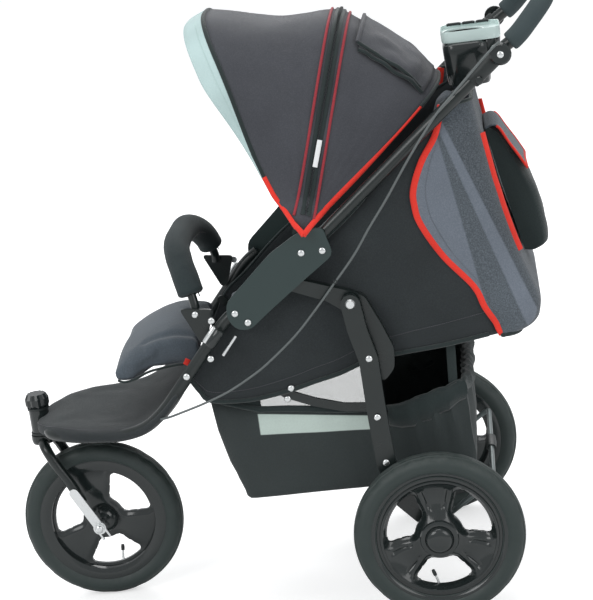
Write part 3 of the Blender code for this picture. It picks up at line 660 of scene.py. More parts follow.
def add_dome(shape, centre, radius, height, outward, steps=14):
    """A rivet head that stands on a face along outward."""
    outward = Vector(outward).normalized()
    guess = Vector((0, 0, 1)) if abs(outward.z) < 0.9 else Vector((1, 0, 0))
    first = outward.cross(guess).normalized()
    second = outward.cross(first)
    rings = []
    for share, rise in ((1.0, -0.15), (1.0, 0.25), (0.88, 0.62), (0.55, 0.92)):
        ring = []
        for step in range(steps):
            turn = 2 * math.pi * step / steps
            spot = first * math.cos(turn) + second * math.sin(turn)
            ring.append(shape.verts.new(Vector(centre) + spot * (radius * share) + outward * (height * rise)))
        rings.append(ring)
    loft(shape, rings, capped=False)
    shape.faces.new(rings[0])
    top = shape.verts.new(Vector(centre) + outward * height)
    for index in range(steps):
        shape.faces.new((rings[-1][index], rings[-1][(index + 1) % steps], top))


def cloth_piece(name, rows, paint, body, replaces=(), thickness=None):
    """A thick skin through rows of points."""
    shape = bmesh.new()
    grid = [[shape.verts.new(point) for point in row] for row in rows]
    for row, following in zip(grid, grid[1:]):
        for a, b, c, d in zip(row, row[1:], following[1:], following):
            shape.faces.new((a, b, c, d))
    made = finish_piece(name, shape, paint, None, 60.0)
    layer = made.modifiers.new("thickness", "SOLIDIFY")
    layer.thickness = thickness or sizes().cloth
    layer.offset = 0.0
    apply_modifiers(made)
    if body:
        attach(made, body)
    if replaces:
        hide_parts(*replaces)
    return made


def apply_modifiers(made):
    bpy.context.view_layer.update()
    graph = bpy.context.evaluated_depsgraph_get()
    mesh = bpy.data.meshes.new_from_object(made.evaluated_get(graph))
    made.modifiers.clear()
    made.data = mesh
    return made


def stitch_piece(name, paths, thread, body, radius=0.00045):
    """Rows of separate stitches along paths."""
    length = sizes().stitch
    paint = cloth_material(thread, THREADS[thread], None, 0.15, 2500.0, 0.2, 0.6, 0.0)
    shape = bmesh.new()
    for path in paths:
        route = [Vector(p) for p in path]
        run = 0.0
        marks = []
        for start, end in zip(route, route[1:]):
            span = (end - start).length
            while run <= span and span > 0:
                marks.append(start.lerp(end, run / span))
                run += length * (0.62 if len(marks) % 2 else 0.38)
            run -= span
        for start, end in zip(marks[::2], marks[1::2]):
            add_sweep(shape, [start, start.lerp(end, 0.5), end], [radius * 0.6, radius, radius * 0.6], 5)
    return finish_piece(name, shape, paint, body, 60.0)


def shares(count):
    """Even steps from 0 to 1."""
    return [step / count for step in range(count + 1)]


def between(low, high, share):
    return low + (high - low) * share


def ease(value):
    value = min(1.0, max(0.0, value))
    return value * value * (3 - 2 * value)


def ripple(point, scale, amount):
    return noise.noise(Vector(point) * scale) * amount


def repaint(paint, *nodes):
    for name in nodes:
        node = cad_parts[name]
        for slot in node.material_slots:
            slot.material = paint


def soften(amount, *nodes):
    """Rounds the hard edges of CAD solids."""
    for name in nodes:
        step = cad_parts[name].modifiers.new("soft edge", "BEVEL")
        step.width = amount
        step.segments = 2
        step.limit_method = "ANGLE"
        step.angle_limit = math.radians(40)


# ---- Padding ------------------------------------------------------------------------------------

def puffed(name, node, paint, swell, shrink, voxel):
    """A cushion blown up by cloth pressure from its CAD solid, with how far it may swell held back."""
    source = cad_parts[node]
    mesh = source.data.copy()
    mesh.name = name
    mesh.materials.clear()
    mesh.materials.append(paint)
    made = bpy.data.objects.new(name, mesh)
    bpy.context.scene.collection.objects.link(made)
    centre = sum((v.co for v in mesh.vertices), Vector()) / len(mesh.vertices)
    low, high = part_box(node)
    for vertex in mesh.vertices:
        for axis in range(3):
            half = (high[axis] - low[axis]) / 2
            vertex.co[axis] = centre[axis] + (vertex.co[axis] - centre[axis]) * (1 - min(0.3, shrink / half))
    fine = made.modifiers.new("fine", "REMESH")
    fine.mode = "VOXEL"
    fine.voxel_size = voxel
    apply_modifiers(made)
    blow_up(made, swell)
    round_off = made.modifiers.new("round", "SMOOTH")
    round_off.factor = 0.5
    round_off.iterations = 3
    apply_modifiers(made)
    made.data.shade_smooth()
    return made


def blow_up(made, swell):
    before = [v.co.copy() for v in made.data.vertices]
    cloth = made.modifiers.new("pressure", "CLOTH")
    cloth.settings.quality = 4
    cloth.settings.use_pressure = True
    cloth.settings.uniform_pressure_force = 4.0
    cloth.settings.effector_weights.gravity = 0.0
    cloth.collision_settings.use_collision = False
    cloth.collision_settings.use_self_collision = False
    scene = bpy.context.scene
    for number in range(1, 21):
        scene.frame_set(number)
    apply_modifiers(made)
    scene.frame_set(1)
    for vertex, old in zip(made.data.vertices, before):
        shift = vertex.co - old
        if shift.length > swell:
            vertex.co = old + shift.normalized() * swell


def press_seams(made, seams, depth=0.006, width=0.009):
    """Presses sewn channels into a cushion. A seam gives a point's distance from its line."""
    mesh = made.data
    normals = [v.normal.copy() for v in mesh.vertices]
    for vertex, normal in zip(mesh.vertices, normals):
        near = min(seam(vertex.co) for seam in seams)
        if near < width * 3:
            vertex.co -= normal * (depth * math.exp(-(near / width) ** 2))
    mesh.update()


def finish_pad(made, body, node):
    step = made.modifiers.new("fine", "SUBSURF")
    step.levels = 1
    step.render_levels = 1
    apply_modifiers(made)
    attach(made, body)
    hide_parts(node)
    return made


# ---- Operators ----------------------------------------------------------------------------------

class PieceOperator:
    bl_options = {"REGISTER", "UNDO"}

    def execute(self, context):
        self.build(sizes())
        return {"FINISHED"}


def lay_floor():
    shape = bmesh.new()
    corners = [shape.verts.new((x, y, -0.0004)) for x, y in ((-30, -30), (30, -30), (30, 30), (-30, 30))]
    shape.faces.new(corners)
    made, tree, shader = start_material("pale_floor")
    where, _ = object_axes(tree)
    tone = add_range(tree, add_noise(tree, where, 0.8, 2.0), 0.2, 0.8, 0.0, 1.0)
    tree.links.new(add_mix(tree, tone, (0.84, 0.84, 0.84, 1), (0.86, 0.86, 0.86, 1)),
        shader.inputs["Base Color"])
    set_inputs(shader, Roughness=0.9, Specular_IOR_Level=0.1, Emission_Color=(1, 1, 1, 1))
    seen = tree.nodes.new("ShaderNodeLightPath")
    tree.links.new(times(tree, seen.outputs["Is Camera Ray"], 0.5), shader.inputs["Emission Strength"])
    finish_piece("studio_floor", shape, made, None)


def light_world(scene):
    world = bpy.data.worlds.new("studio_light")
    world.use_nodes = True
    tree = world.node_tree
    tree.nodes.clear()
    plain, bright = (tree.nodes.new("ShaderNodeBackground") for _ in range(2))
    joined = tree.nodes.new("ShaderNodeMixShader")
    set_inputs(plain, Color=(0.96, 0.98, 1.0, 1), Strength=0.62)
    set_inputs(bright, Color=(1, 1, 1, 1), Strength=1.0)
    seen = tree.nodes.new("ShaderNodeLightPath")
    tree.links.new(seen.outputs["Is Camera Ray"], joined.inputs[0])
    tree.links.new(plain.outputs[0], joined.inputs[1])
    tree.links.new(bright.outputs[0], joined.inputs[2])
    tree.links.new(joined.outputs[0], tree.nodes.new("ShaderNodeOutputWorld").inputs["Surface"])
    scene.world = world


def hang_lamp(name, place, size, power):
    light = bpy.data.lights.new(name, "AREA")
    light.size = size
    light.energy = power
    made = bpy.data.objects.new(name, light)
    made.location = place
    made.rotation_euler = (Vector((0, 0, 0.5)) - Vector(place)).to_track_quat("-Z", "Y").to_euler()
    bpy.context.scene.collection.objects.link(made)


def place_camera(scene):
    azimuth, pitch, roll = (math.radians(angle) for angle in (5.7722, 15.0498, -7.8297))
    forward = Vector(
        (-math.sin(azimuth) * math.cos(pitch), math.cos(azimuth) * math.cos(pitch), -math.sin(pitch))
    )
    right = Vector((math.cos(azimuth), math.sin(azimuth), 0))
    up = right.cross(forward)
    across = right * math.cos(roll) + up * math.sin(roll)
    upright = up * math.cos(roll) - right * math.sin(roll)
    lens = bpy.data.cameras.new("view")
    lens.lens = 131.4
    lens.sensor_width = 36
    made = bpy.data.objects.new("view", lens)
    turn = Matrix((across, upright, -forward)).transposed().to_4x4()
    made.matrix_world = Matrix.Translation((0.4193, -3.8955, 1.5909)) @ turn
    scene.collection.objects.link(made)
    scene.camera = made


class STROLLER_OT_stage(PieceOperator, bpy.types.Operator):
    """Floor, soft studio light and the camera"""

    bl_idname = "stroller.stage"
    bl_label = "Stage, lights and camera"

    def build(self, size):
        scene = bpy.context.scene
        scene.view_settings.view_transform = "Standard"
        lay_floor()
        light_world(scene)
        hang_lamp("key_light", (-2.6, -3.4, 3.4), 2.6, 68.0)
        hang_lamp("fill_light", (2.9, -2.6, 2.3), 2.4, 34.0)
        hang_lamp("rim_light", (0.6, 3.2, 3.0), 2.6, 60.0)
        hang_lamp("top_light", (0.0, 0.0, 4.2), 2.4, 36.0)
        place_camera(scene)


def build_wheel(label, body, centre, side, first_spoke, tyre_node, rim_node):
    steps = sizes().wheel_steps
    half = [
        (0.1525, 0.0), (0.1524, 0.004), (0.1517, 0.0046), (0.152, 0.006), (0.1512, 0.0098), (0.1496, 0.0108),
        (0.149, 0.0128),
        (0.1466, 0.0166), (0.143, 0.02), (0.1385, 0.0224), (0.134, 0.0232), (0.129, 0.0226), (0.1245, 0.0208),
        (0.121, 0.0186), (0.119, 0.017),
    ]
    back = [(radius, -height) for radius, height in half[:0:-1]]
    profile = half + [(0.112, 0.015), (0.112, -0.015)] + back
    depth = sizes().tread

    def tread(step, row):
        """Blocks on both shoulders, and shallow cuts beside the middle."""
        across = min(row, len(profile) - row)
        if across in (5, 6, 7):
            return -depth if step % 4 < 2 else 0.0
        return -depth * 0.5 if across in (3, 4) and step % 8 < 2 else 0.0

    lathe_piece(label + "_tyre_detail", profile, centre, tyre_rubber(), body, steps, side=side,
        replaces=(tyre_node,), vary=tread)
    build_rim(label, body, centre, side, first_spoke, rim_node)
    build_valve(label, body, centre, side)


def build_rim(label, body, centre, side, first_spoke, rim_node):
    """The spoke face is one skin over a polar grid, dished, with the windows left out."""
    rear = label != "front"
    columns, rows = 144, 22
    hub, edge = (0.03 if rear else 0.025), 0.1
    shape = bmesh.new()
    window_low, window_high, half_angle = (0.044 if rear else 0.04), 0.0925, 35.0

    def outside_window(radius, turn):
        """How far a spot is from the nearest window, under 0 inside it, on a rounded polar box."""
        nearest = 1.0
        for spoke in range(3):
            middle = first_spoke + 120 * spoke + 60
            off = (math.degrees(turn) - middle + 180) % 360 - 180
            reach = half_angle * (0.8 + 0.2 * (radius - window_low) / (window_high - window_low))
            across = abs(math.radians(off)) * radius - math.radians(reach) * radius + 0.01
            along = abs(radius - (window_low + window_high) / 2) - (window_high - window_low) / 2 + 0.01
            gap = math.hypot(max(across, 0), max(along, 0)) + min(max(across, along), 0) - 0.01
            nearest = min(nearest, gap)
        return nearest

    def surface(radius, turn, front):
        share = (radius - hub) / (edge - hub)
        if rear:
            rise = 0.0215 - 0.015 * math.sin(math.pi * min(1, share * 0.92)) ** 0.8
        else:
            rise = 0.0125 - 0.004 * math.sin(math.pi * share)
        lip = outside_window(radius, turn)
        rounding = 0.0085 * ease(1 - lip / 0.011)
        groove = 0.003 * ease(1 - abs(lip - 0.0165) / 0.0035) if 0.3 < share < 0.9 else 0.0
        return rise - rounding - groove if front else max(-0.012, rise - 0.019) + rounding * 0.5

    grid = []
    for column in range(columns):
        turn = 2 * math.pi * column / columns
        radii = [between(hub, edge, share) for share in shares(rows)]
        grid.append([(radius, turn, outside_window(radius, turn)) for radius in radii])
    verts = {}

    def corner(front, column, row):
        key = (front, column % columns, row)
        if key not in verts:
            radius, turn, inside = grid[column % columns][row]
            for _ in range(4):
                if inside > 0.0001:
                    break
                radius, turn = push_out(radius, turn)
                inside = outside_window(radius, turn)
            height = surface(radius, turn, front)
            verts[key] = shape.verts.new(
                centre + Vector((radius * math.cos(turn), side * height, radius * math.sin(turn)))
            )
        return verts[key]

    def cell(column, row):
        return (column, row), (column + 1, row), (column + 1, row + 1), (column, row + 1)

    def push_out(radius, turn):
        here = outside_window(radius, turn)
        small = 0.0005
        slope_r = (outside_window(radius + small, turn) - here) / small
        slope_t = (outside_window(radius, turn + small / radius) - here) / small
        size = max(0.3, slope_r ** 2 + slope_t ** 2)
        return radius - here * slope_r / size, turn - here * slope_t / size / radius

    kept = set()
    for column in range(columns):
        for row in range(rows):
            spots = [grid[c % columns][r][2] for c, r in cell(column, row)]
            if sum(spots) / 4 > -0.0004:
                kept.add((column, row))
    for column, row in kept:
        for front in (True, False):
            loop = [corner(front, *spot) for spot in cell(column, row)]
            shape.faces.new(loop if front else loop[::-1])
    for column, row in kept:
        sides = (
            ((column, row), (column + 1, row), (column, row - 1)),
            ((column + 1, row), (column + 1, row + 1), ((column + 1) % columns, row)),
            ((column + 1, row + 1), (column, row + 1), (column, row + 1)),
            ((column, row + 1), (column, row), ((column - 1) % columns, row)),
        )
        for start, end, neighbour in sides:
            if neighbour in kept:
                continue
            a, b = corner(True, *start), corner(True, *end)
            c, d = corner(False, *end), corner(False, *start)
            shape.faces.new((b, a, d, c))
    finish_piece(label + "_rim_spokes", shape, gloss_plastic(), body, 50.0, (rim_node,))
    flange = [
        (0.0985, 0.006), (0.099, 0.012), (0.1005, 0.016), (0.103, 0.0172), (0.105, 0.0164), (0.1062, 0.0132),
        (0.111, 0.013), (0.114, 0.016), (0.1165, 0.0184), (0.1195, 0.019), (0.1212, 0.0182), (0.1206, 0.0165),
        (0.113, 0.014), (0.113, -0.014), (0.1206, -0.0165), (0.1212, -0.0182), (0.1195, -0.019),
        (0.108, -0.0172), (0.1, -0.015), (0.098, -0.008), (0.0975, 0.0),
    ]
    lathe_piece(label + "_rim_flange", flange, centre, gloss_plastic(), body, 120, side=side)
    build_hub(label, body, centre, side, rear)


def build_hub(label, body, centre, side, rear):
    if rear:
        boss = [
            (0.0064, -0.022), (0.027, -0.022), (0.029, -0.019), (0.03, 0.0), (0.0325, 0.016),
            (0.0345, 0.0225), (0.033, 0.0262), (0.027, 0.0285),
            (0.0255, 0.0282), (0.0248, 0.027), (0.024, 0.0282), (0.0235, 0.0318), (0.021, 0.0362),
            (0.016, 0.0388), (0.009, 0.0399), (0.0, 0.0402), (0.0, 0.018), (0.0064, 0.018),
        ]
        lathe_piece(label + "_hub_cap", boss, centre, gloss_plastic(), body, 64, side=side)
    else:
        boss = [
            (0.0056, -0.022), (0.017, -0.022), (0.0195, -0.02), (0.0255, -0.015), (0.0275, -0.01),
            (0.0275, 0.01), (0.0255, 0.015), (0.0195, 0.02),
            (0.017, 0.022), (0.0056, 0.022),
        ]
        lathe_piece(label + "_hub", boss, centre, gloss_plastic(), body, 56, side=side)


def build_valve(label, body, centre, side):
    out = ray(285 if label == "front" else 262)
    lean = Vector((0.25, 0, 0.1)) if label == "front" else Vector((-0.3, 0, 0.0))
    start = centre + out * 0.0995
    route = [start, start - out * 0.01 + Vector((0, side * 0.001, 0)),
        start - out * 0.024 + lean * 0.02 + Vector((0, side * 0.003, 0))]
    end = route[-1] + (route[-1] - route[-2]).normalized() * 0.01
    sweep_piece(label + "_valve_stem", smooth_path(route, 4), 0.0021, plated_steel(), body, 10)
    sweep_piece(label + "_valve_cap", [route[-1] - (end - route[-1]) * 0.1, route[-1].lerp(end, 0.5), end],
        [0.0034, 0.0036, 0.003], matt_plastic(), body, 12)


class STROLLER_OT_wheels(PieceOperator, bpy.types.Operator):
    """Tyres with tread, three-spoke rims, hub caps and valves"""

    bl_idname = "stroller.wheels"
    bl_label = "Wheels"

    def build(self, size):
        build_wheel("front", "front_wheel", FRONT_WHEEL, 1, 100.0, "front_tyre", "front_rim")
        for label, side in SIDES.items():
            centre = Vector((REAR_WHEEL.x, side * REAR_WHEEL.y, REAR_WHEEL.z))
            build_wheel("rear_" + label, "rear_wheel_" + label, centre, side, 90.0, f"rear_{label}_tyre",
                f"rear_{label}_rim")


def paint_tubes(paint):
    front = [
        (-0.057, TUBE_SIDE, 0.59), (-0.085, TUBE_SIDE, 0.57), (-0.128, TUBE_SIDE, 0.519),
        (-0.168, TUBE_SIDE, 0.472), (-0.217, 0.195, 0.413),
        (-0.262, 0.174, 0.375), (-0.32, 0.15, 0.359), (-0.4, 0.128, 0.359), (-0.4589, 0.092, 0.36),
        (-0.4589, 0.0005, 0.36),
    ]
    for label, side in SIDES.items():
        route = rounded_path([(x, side * y, z) for x, y, z in front], 0.03)
        sweep_piece("front_tube_paint_" + label, route, TUBE_RADIUS, paint, "front_frame", 20,
            replaces=("front_tube_" + label,))
        line = [Vector((x, side * TUBE_SIDE, z)) for x, z in ((0.062, 0.671), (0.446, 0.985))]
        route = [line[0].lerp(line[1], share) for share in shares(12)]
        sweep_piece("push_tube_paint_" + label, route, [0.0098] + [TUBE_RADIUS] * 11 + [0.0098], paint,
            "seat_frame", 20, replaces=("push_tube_" + label,))
        sleeve = [line[0].lerp(line[1], share) for share in (0.955, 0.96, 0.992, 1.0)]
        sweep_piece("push_tube_sleeve_" + label, sleeve, [0.0122, 0.0128, 0.0128, 0.012], matt_plastic(),
            "seat_frame", 20)


def set_rivets():
    """Domed rivet heads on each side, one piece for each body."""
    spots = {
        "seat_frame": [(0.067, 0.222, 0.681), (0.104, 0.222, 0.681), (-0.0424, 0.222, 0.5668),
            (-0.063, 0.222, 0.5855), (0.0134, 0.188, 0.4278)],
        "front_frame": [(-0.137, 0.194, 0.584), (-0.107, 0.215, 0.575), (-0.1178, 0.216, 0.5066),
            (-0.165, 0.2175, 0.4788)],
        "rear_legs": [(0.1615, 0.2345, 0.481), (0.168, 0.2345, 0.2866)],
        "braces": [(0.163, 0.237, 0.373), (0.0036, 0.1795, 0.4062)],
    }
    for body, places in spots.items():
        shape = bmesh.new()
        for x, y, z in places:
            for side in (-1, 1):
                add_dome(shape, (x, side * y, z), RIVET_RADIUS, RIVET_HEIGHT, (0, side, 0))
        if body == "seat_frame":
            for side in (-1, 1):
                spot = (-0.0298, side * 0.2173, 0.5979)
                add_dome(shape, spot, RIVET_RADIUS, RIVET_HEIGHT, (0, -side, 0))
        finish_piece("rivets_" + body, shape, plated_steel(), body, 50.0)


class STROLLER_OT_frame(PieceOperator, bpy.types.Operator):
    """Painted tubes, hinge plates, rails, legs, braces and their rivets"""

    bl_idname = "stroller.frame"
    bl_label = "Frame"

    def build(self, size):
        paint = black_paint()
        repaint(paint, "rear_axle", "hood_rear_bow", "hood_middle_bow", "hood_front_bow")
        repaint(paint, *pairs("bumper_bracket", "rear_leg", "brace", "seat_rail"))
        repaint(plate_paint(), *pairs("hinge_plate"))
        repaint(plated_steel(), "front_axle", *pairs("leg_pivot_pin", "dropout"))
        soften(0.0022, *pairs("rear_leg"))
        soften(0.0014, *pairs("seat_rail", "brace", "bumper_bracket"))
        soften(0.0008, *pairs("dropout", "hinge_plate"))
        paint_tubes(paint)
        set_rivets()


class STROLLER_OT_fork(PieceOperator, bpy.types.Operator):
    """Front fork, headset, swivel knob, axle nuts and the foot brake"""

    bl_idname = "stroller.fork"
    bl_label = "Fork and brake"

    def build(self, size):
        repaint(black_paint(), "fork")
        repaint(gloss_plastic(), "swivel_knob", "head_block", *pairs("handle_hub"))
        soften(0.0012, "swivel_knob", "head_block", *pairs("handle_hub"))
        shape = bmesh.new()
        for ring_z in (0.3345, 0.383):
            profile = [(0.019, ring_z), (0.0205, ring_z), (0.0205, ring_z + 0.004), (0.019, ring_z + 0.004)]
            add_lathe(shape, profile, (-0.489, 0, 0), 40, axis="Z")
        finish_piece("headset_rings", shape, matt_plastic(), "front_frame", 40.0)
        shape = bmesh.new()
        for side in (-1, 1):
            add_dome(shape, (-0.3975, side * 0.0665, 0.1525), 0.0078, 0.004, (0, side, 0))
            washer = [(0.005, side * 0.0592), (0.0122, side * 0.0592), (0.0122, side * 0.0606),
                (0.005, side * 0.0606)]
            add_lathe(shape, washer, FRONT_WHEEL, 32)
        finish_piece("front_axle_nuts", shape, plated_steel(), "fork", 40.0)
        for label, side in SIDES.items():
            route = smooth_path(
                [(-0.489, side * 0.01, 0.3215), (-0.478, side * 0.04, 0.313), (-0.462, side * 0.046, 0.28),
                    (-0.443, side * 0.046, 0.245), (-0.426, side * 0.046, 0.207)], 5)
            sweep_piece("fork_blade_" + label, route, [0.0098] * (len(route) - 3) + [0.0094, 0.0088, 0.006],
                black_paint(), "fork", 18)
        rod_x, rod_z = BRAKE_ROD_END
        rod = rounded_path(
            [(0.262, -0.2, 0.162), (rod_x, -0.2, rod_z), (rod_x, 0.2, rod_z), (0.262, 0.2, 0.162)], 0.02)
        steel = hard_material("brake_rod_steel", (0.16, 0.19, 0.19), 0.35, metallic=0.6, dust=0.0)
        sweep_piece("brake_rod", rod, 0.005, steel, "foot_brake", 14, replaces=("foot_brake",))
        pedal = [(rod_x, y, rod_z) for y in (-0.03, 0.0, 0.03)]
        sweep_piece("brake_pedal", pedal, [0.0092, 0.0105, 0.0092], matt_plastic(), "foot_brake", 18,
            depth=0.007)


class STROLLER_OT_handle(PieceOperator, bpy.types.Operator):
    """Handle bar with its foam grip"""

    bl_idname = "stroller.handle"
    bl_label = "Handle"

    def build(self, size):
        corners = []
        for side in (-1, 1):
            arm = [(0.446, side * 0.182, 0.985), (0.478, side * 0.182, 1.006), (0.5325, side * 0.166, 1.064)]
            corners += arm if side < 0 else arm[::-1]
        route = rounded_path(corners, 0.05, 10)
        sweep_piece("handle_bar_paint", route, TUBE_RADIUS, black_paint(), "handle", 18,
            replaces=("handle_bar",))
        grip = trimmed(route, 0.022)
        ends = [0.015, 0.0168] + [0.0174] * (len(grip) - 4) + [0.0168, 0.015]
        made = sweep_piece("handle_grip_foam", grip, ends, foam_skin(), "handle", 28,
            replaces=("handle_grip",))
        shape = bmesh.new()
        for side in (-1, 1):
            add_dome(shape, (0.446, side * 0.2272, 0.985), RIVET_RADIUS, 0.0026, (0, side, 0))
        finish_piece("handle_hub_bolts", shape, plated_steel(), "seat_frame", 50.0)


class STROLLER_OT_bumper(PieceOperator, bpy.types.Operator):
    """Bumper bar with its padded sleeve"""

    bl_idname = "stroller.bumper"
    bl_label = "Bumper bar"

    def build(self, size):
        half = [(-0.137, 0.584, 0.18), (-0.138, 0.603, 0.179), (-0.148, 0.64, 0.162), (-0.162, 0.67, 0.12),
            (-0.171, 0.683, 0.06)]
        near = [Vector((x, -y, z)) for x, z, y in half]
        route = smooth_path(near + [Vector((point.x, -point.y, point.z)) for point in reversed(near)], 6)
        sweep_piece("bumper_bar_paint", route, 0.008, black_paint(), "bumper", 14,
            replaces=("bumper_bar",))
        sleeve = smooth_path(trimmed(route, 0.034), 2)
        middle = [0.0235 + ripple(p, 24.0, 0.0012) for p in sleeve[2:-2]]
        sizes_along = [0.019, 0.0222] + middle + [0.0222, 0.019]
        padding = cloth_material("bumper_cloth", (0.024, 0.034, 0.036), fleck=0.2, roughness=0.85, sheen=0.1)
        made = sweep_piece("bumper_sleeve", sleeve, sizes_along, padding, "bumper", 28,
            replaces=("bumper_pad",))
        seam = [point + Vector((0.0166, 0, -0.0166)) for point in sleeve[4:-4]]
        sweep_piece("bumper_sleeve_seam", seam, 0.0011, black_cloth(), "bumper", 8)
        stitch_piece("bumper_sleeve_stitches", [[p + Vector((0.005, 0, 0.003)) for p in seam]], "grey_thread",
            "bumper")


class STROLLER_OT_latches(PieceOperator, bpy.types.Operator):
    """Sliding locks of the fold, with their springs' housings"""

    bl_idname = "stroller.latches"
    bl_label = "Fold latches"

    def build(self, size):
        for label, side in SIDES.items():
            start = Vector((-0.0935, side * 0.222, 0.559))
            route = [start + ALONG_LATCH * step for step in (0.0, 0.002, 0.032, 0.0345)]
            sweep_piece("latch_housing_" + label, route, [0.0088, 0.0099, 0.0099, 0.0084], gloss_plastic(),
                "latch_" + label, 18, replaces=("fold_latch_" + label,))
            start = Vector((-0.102, side * 0.2235, 0.566))
            rod = [start + ALONG_LATCH * step for step in (0.0, 0.0015, 0.032, 0.0335)]
            sweep_piece("latch_barrel_" + label, rod, [0.0036, 0.0046, 0.0046, 0.0036], plated_steel(),
                "latch_" + label, 16)
            rod_start = Vector((-0.0668, side * 0.2205, 0.545))
            sweep_piece("latch_rod_" + label,
                [rod_start, rod_start + ALONG_LATCH * 0.022, rod_start + ALONG_LATCH * 0.043], 0.003,
                plated_steel(), "front_frame", 12)


def build_foot_rest():
    """A sleeve of cloth drawn over both front tubes, hollow in the middle and shallow at the front."""
    stations = [
        (-0.49, 0.024, 0.357, 0.01, 0.0), (-0.485, 0.046, 0.358, 0.016, -0.006),
        (-0.472, 0.074, 0.359, 0.0175, -0.008), (-0.452, 0.101, 0.36, 0.0175, -0.008),
        (-0.43, 0.122, 0.3598, 0.017, -0.007), (-0.4, 0.1415, 0.3595, 0.0165, -0.004),
        (-0.36, 0.1535, 0.3592, 0.016, -0.001), (-0.32, 0.164, 0.3598, 0.016, 0.0),
        (-0.29, 0.1755, 0.365, 0.0165, 0.001), (-0.262, 0.1885, 0.3765, 0.0175, 0.006),
        (-0.24, 0.1985, 0.3935, 0.019, 0.012), (-0.217, 0.2085, 0.414, 0.021, 0.018),
        (-0.198, 0.214, 0.435, 0.0205, 0.02), (-0.188, 0.215, 0.444, 0.015, 0.016),
    ]
    columns = list(zip(*stations))
    smooth = smooth_path([Vector((x, y, z)) for x, y, z in zip(*columns[:3])], 4)
    halves = smooth_path([Vector((a, b, 0)) for a, b in zip(columns[3], columns[4])], 4)
    rings = []
    for (x, width, z), (thick, dip, _) in zip(smooth, halves):
        ring = []
        for step in range(64):
            turn = 2 * math.pi * step / 64
            across = math.copysign(abs(math.cos(turn)) ** 0.55, math.cos(turn)) * width
            share = across / width
            edge = abs(share) ** 5
            height = math.sin(turn)
            full = 0.0105 * ease((x + 0.485) / 0.06) * ease((-0.205 - x) / 0.06)
            if height > 0:
                upper = between(full * 0.8 - dip + 0.004, thick + full, edge)
            else:
                upper = between(dip + 0.008, thick, edge)
            wave = ripple((x * 3, across * 4, z), 9.0, 0.0028) * (1 - edge)
            ring.append(Vector((x, across, z + math.copysign(abs(height) ** 0.75, height) * upper + wave)))
        rings.append(ring)
    shape = bmesh.new()
    loops = [[shape.verts.new(point) for point in ring] for ring in rings]
    loft(shape, loops)
    made = finish_piece("foot_rest_cloth", shape, dusk(), "front_frame", 70.0,
        ("footrest",))
    for label, side in SIDES.items():
        inner = [ring[6 if side > 0 else 26] + Vector((0, 0, 0.0004)) for ring in rings[3:-2]]
        stitch_piece("foot_rest_stitches_" + label, [inner], "charcoal_thread", "front_frame")


def build_calf_rest():
    made = puffed("calf_rest_cushion", "calf_rest", slate(), 0.009, 0.003, 0.0055)
    for vertex in made.data.vertices:
        vertex.co.z += 0.016 * max(0.0, 1 - (vertex.co.y / 0.14) ** 2)
    press_seams(made, [lambda p: abs(abs(p.y) - 0.112) + max(0.0, -0.25 - p.x)], 0.0055, 0.007)
    finish_pad(made, "calf_rest", "calf_rest")
    piping = rounded_path(
        [(-0.152, 0.0, 0.478), (-0.2, 0.0, 0.478), (-0.246, 0.0, 0.4715), (-0.273, 0.0, 0.459),
            (-0.293, 0.0, 0.4555), (-0.304, 0.0, 0.461)], 0.012)
    for label, side in SIDES.items():
        edge = [point + Vector((0, side * 0.134, 0)) for point in piping]
        sweep_piece("calf_rest_piping_" + label, edge, 0.0024, black_cloth(), "calf_rest", 8)
    tag = [(-0.169, -0.1445, 0.49), (-0.172, -0.1455, 0.485), (-0.175, -0.145, 0.48)]
    sweep_piece("calf_rest_tag", tag, 0.005, red_binding(), "calf_rest", 10, depth=0.0012)


class STROLLER_OT_rests(PieceOperator, bpy.types.Operator):
    """Foot rest cloth over the front tubes, and the padded calf rest"""

    bl_idname = "stroller.rests"
    bl_label = "Foot and calf rests"

    def build(self, size):
        build_foot_rest()
        build_calf_rest()


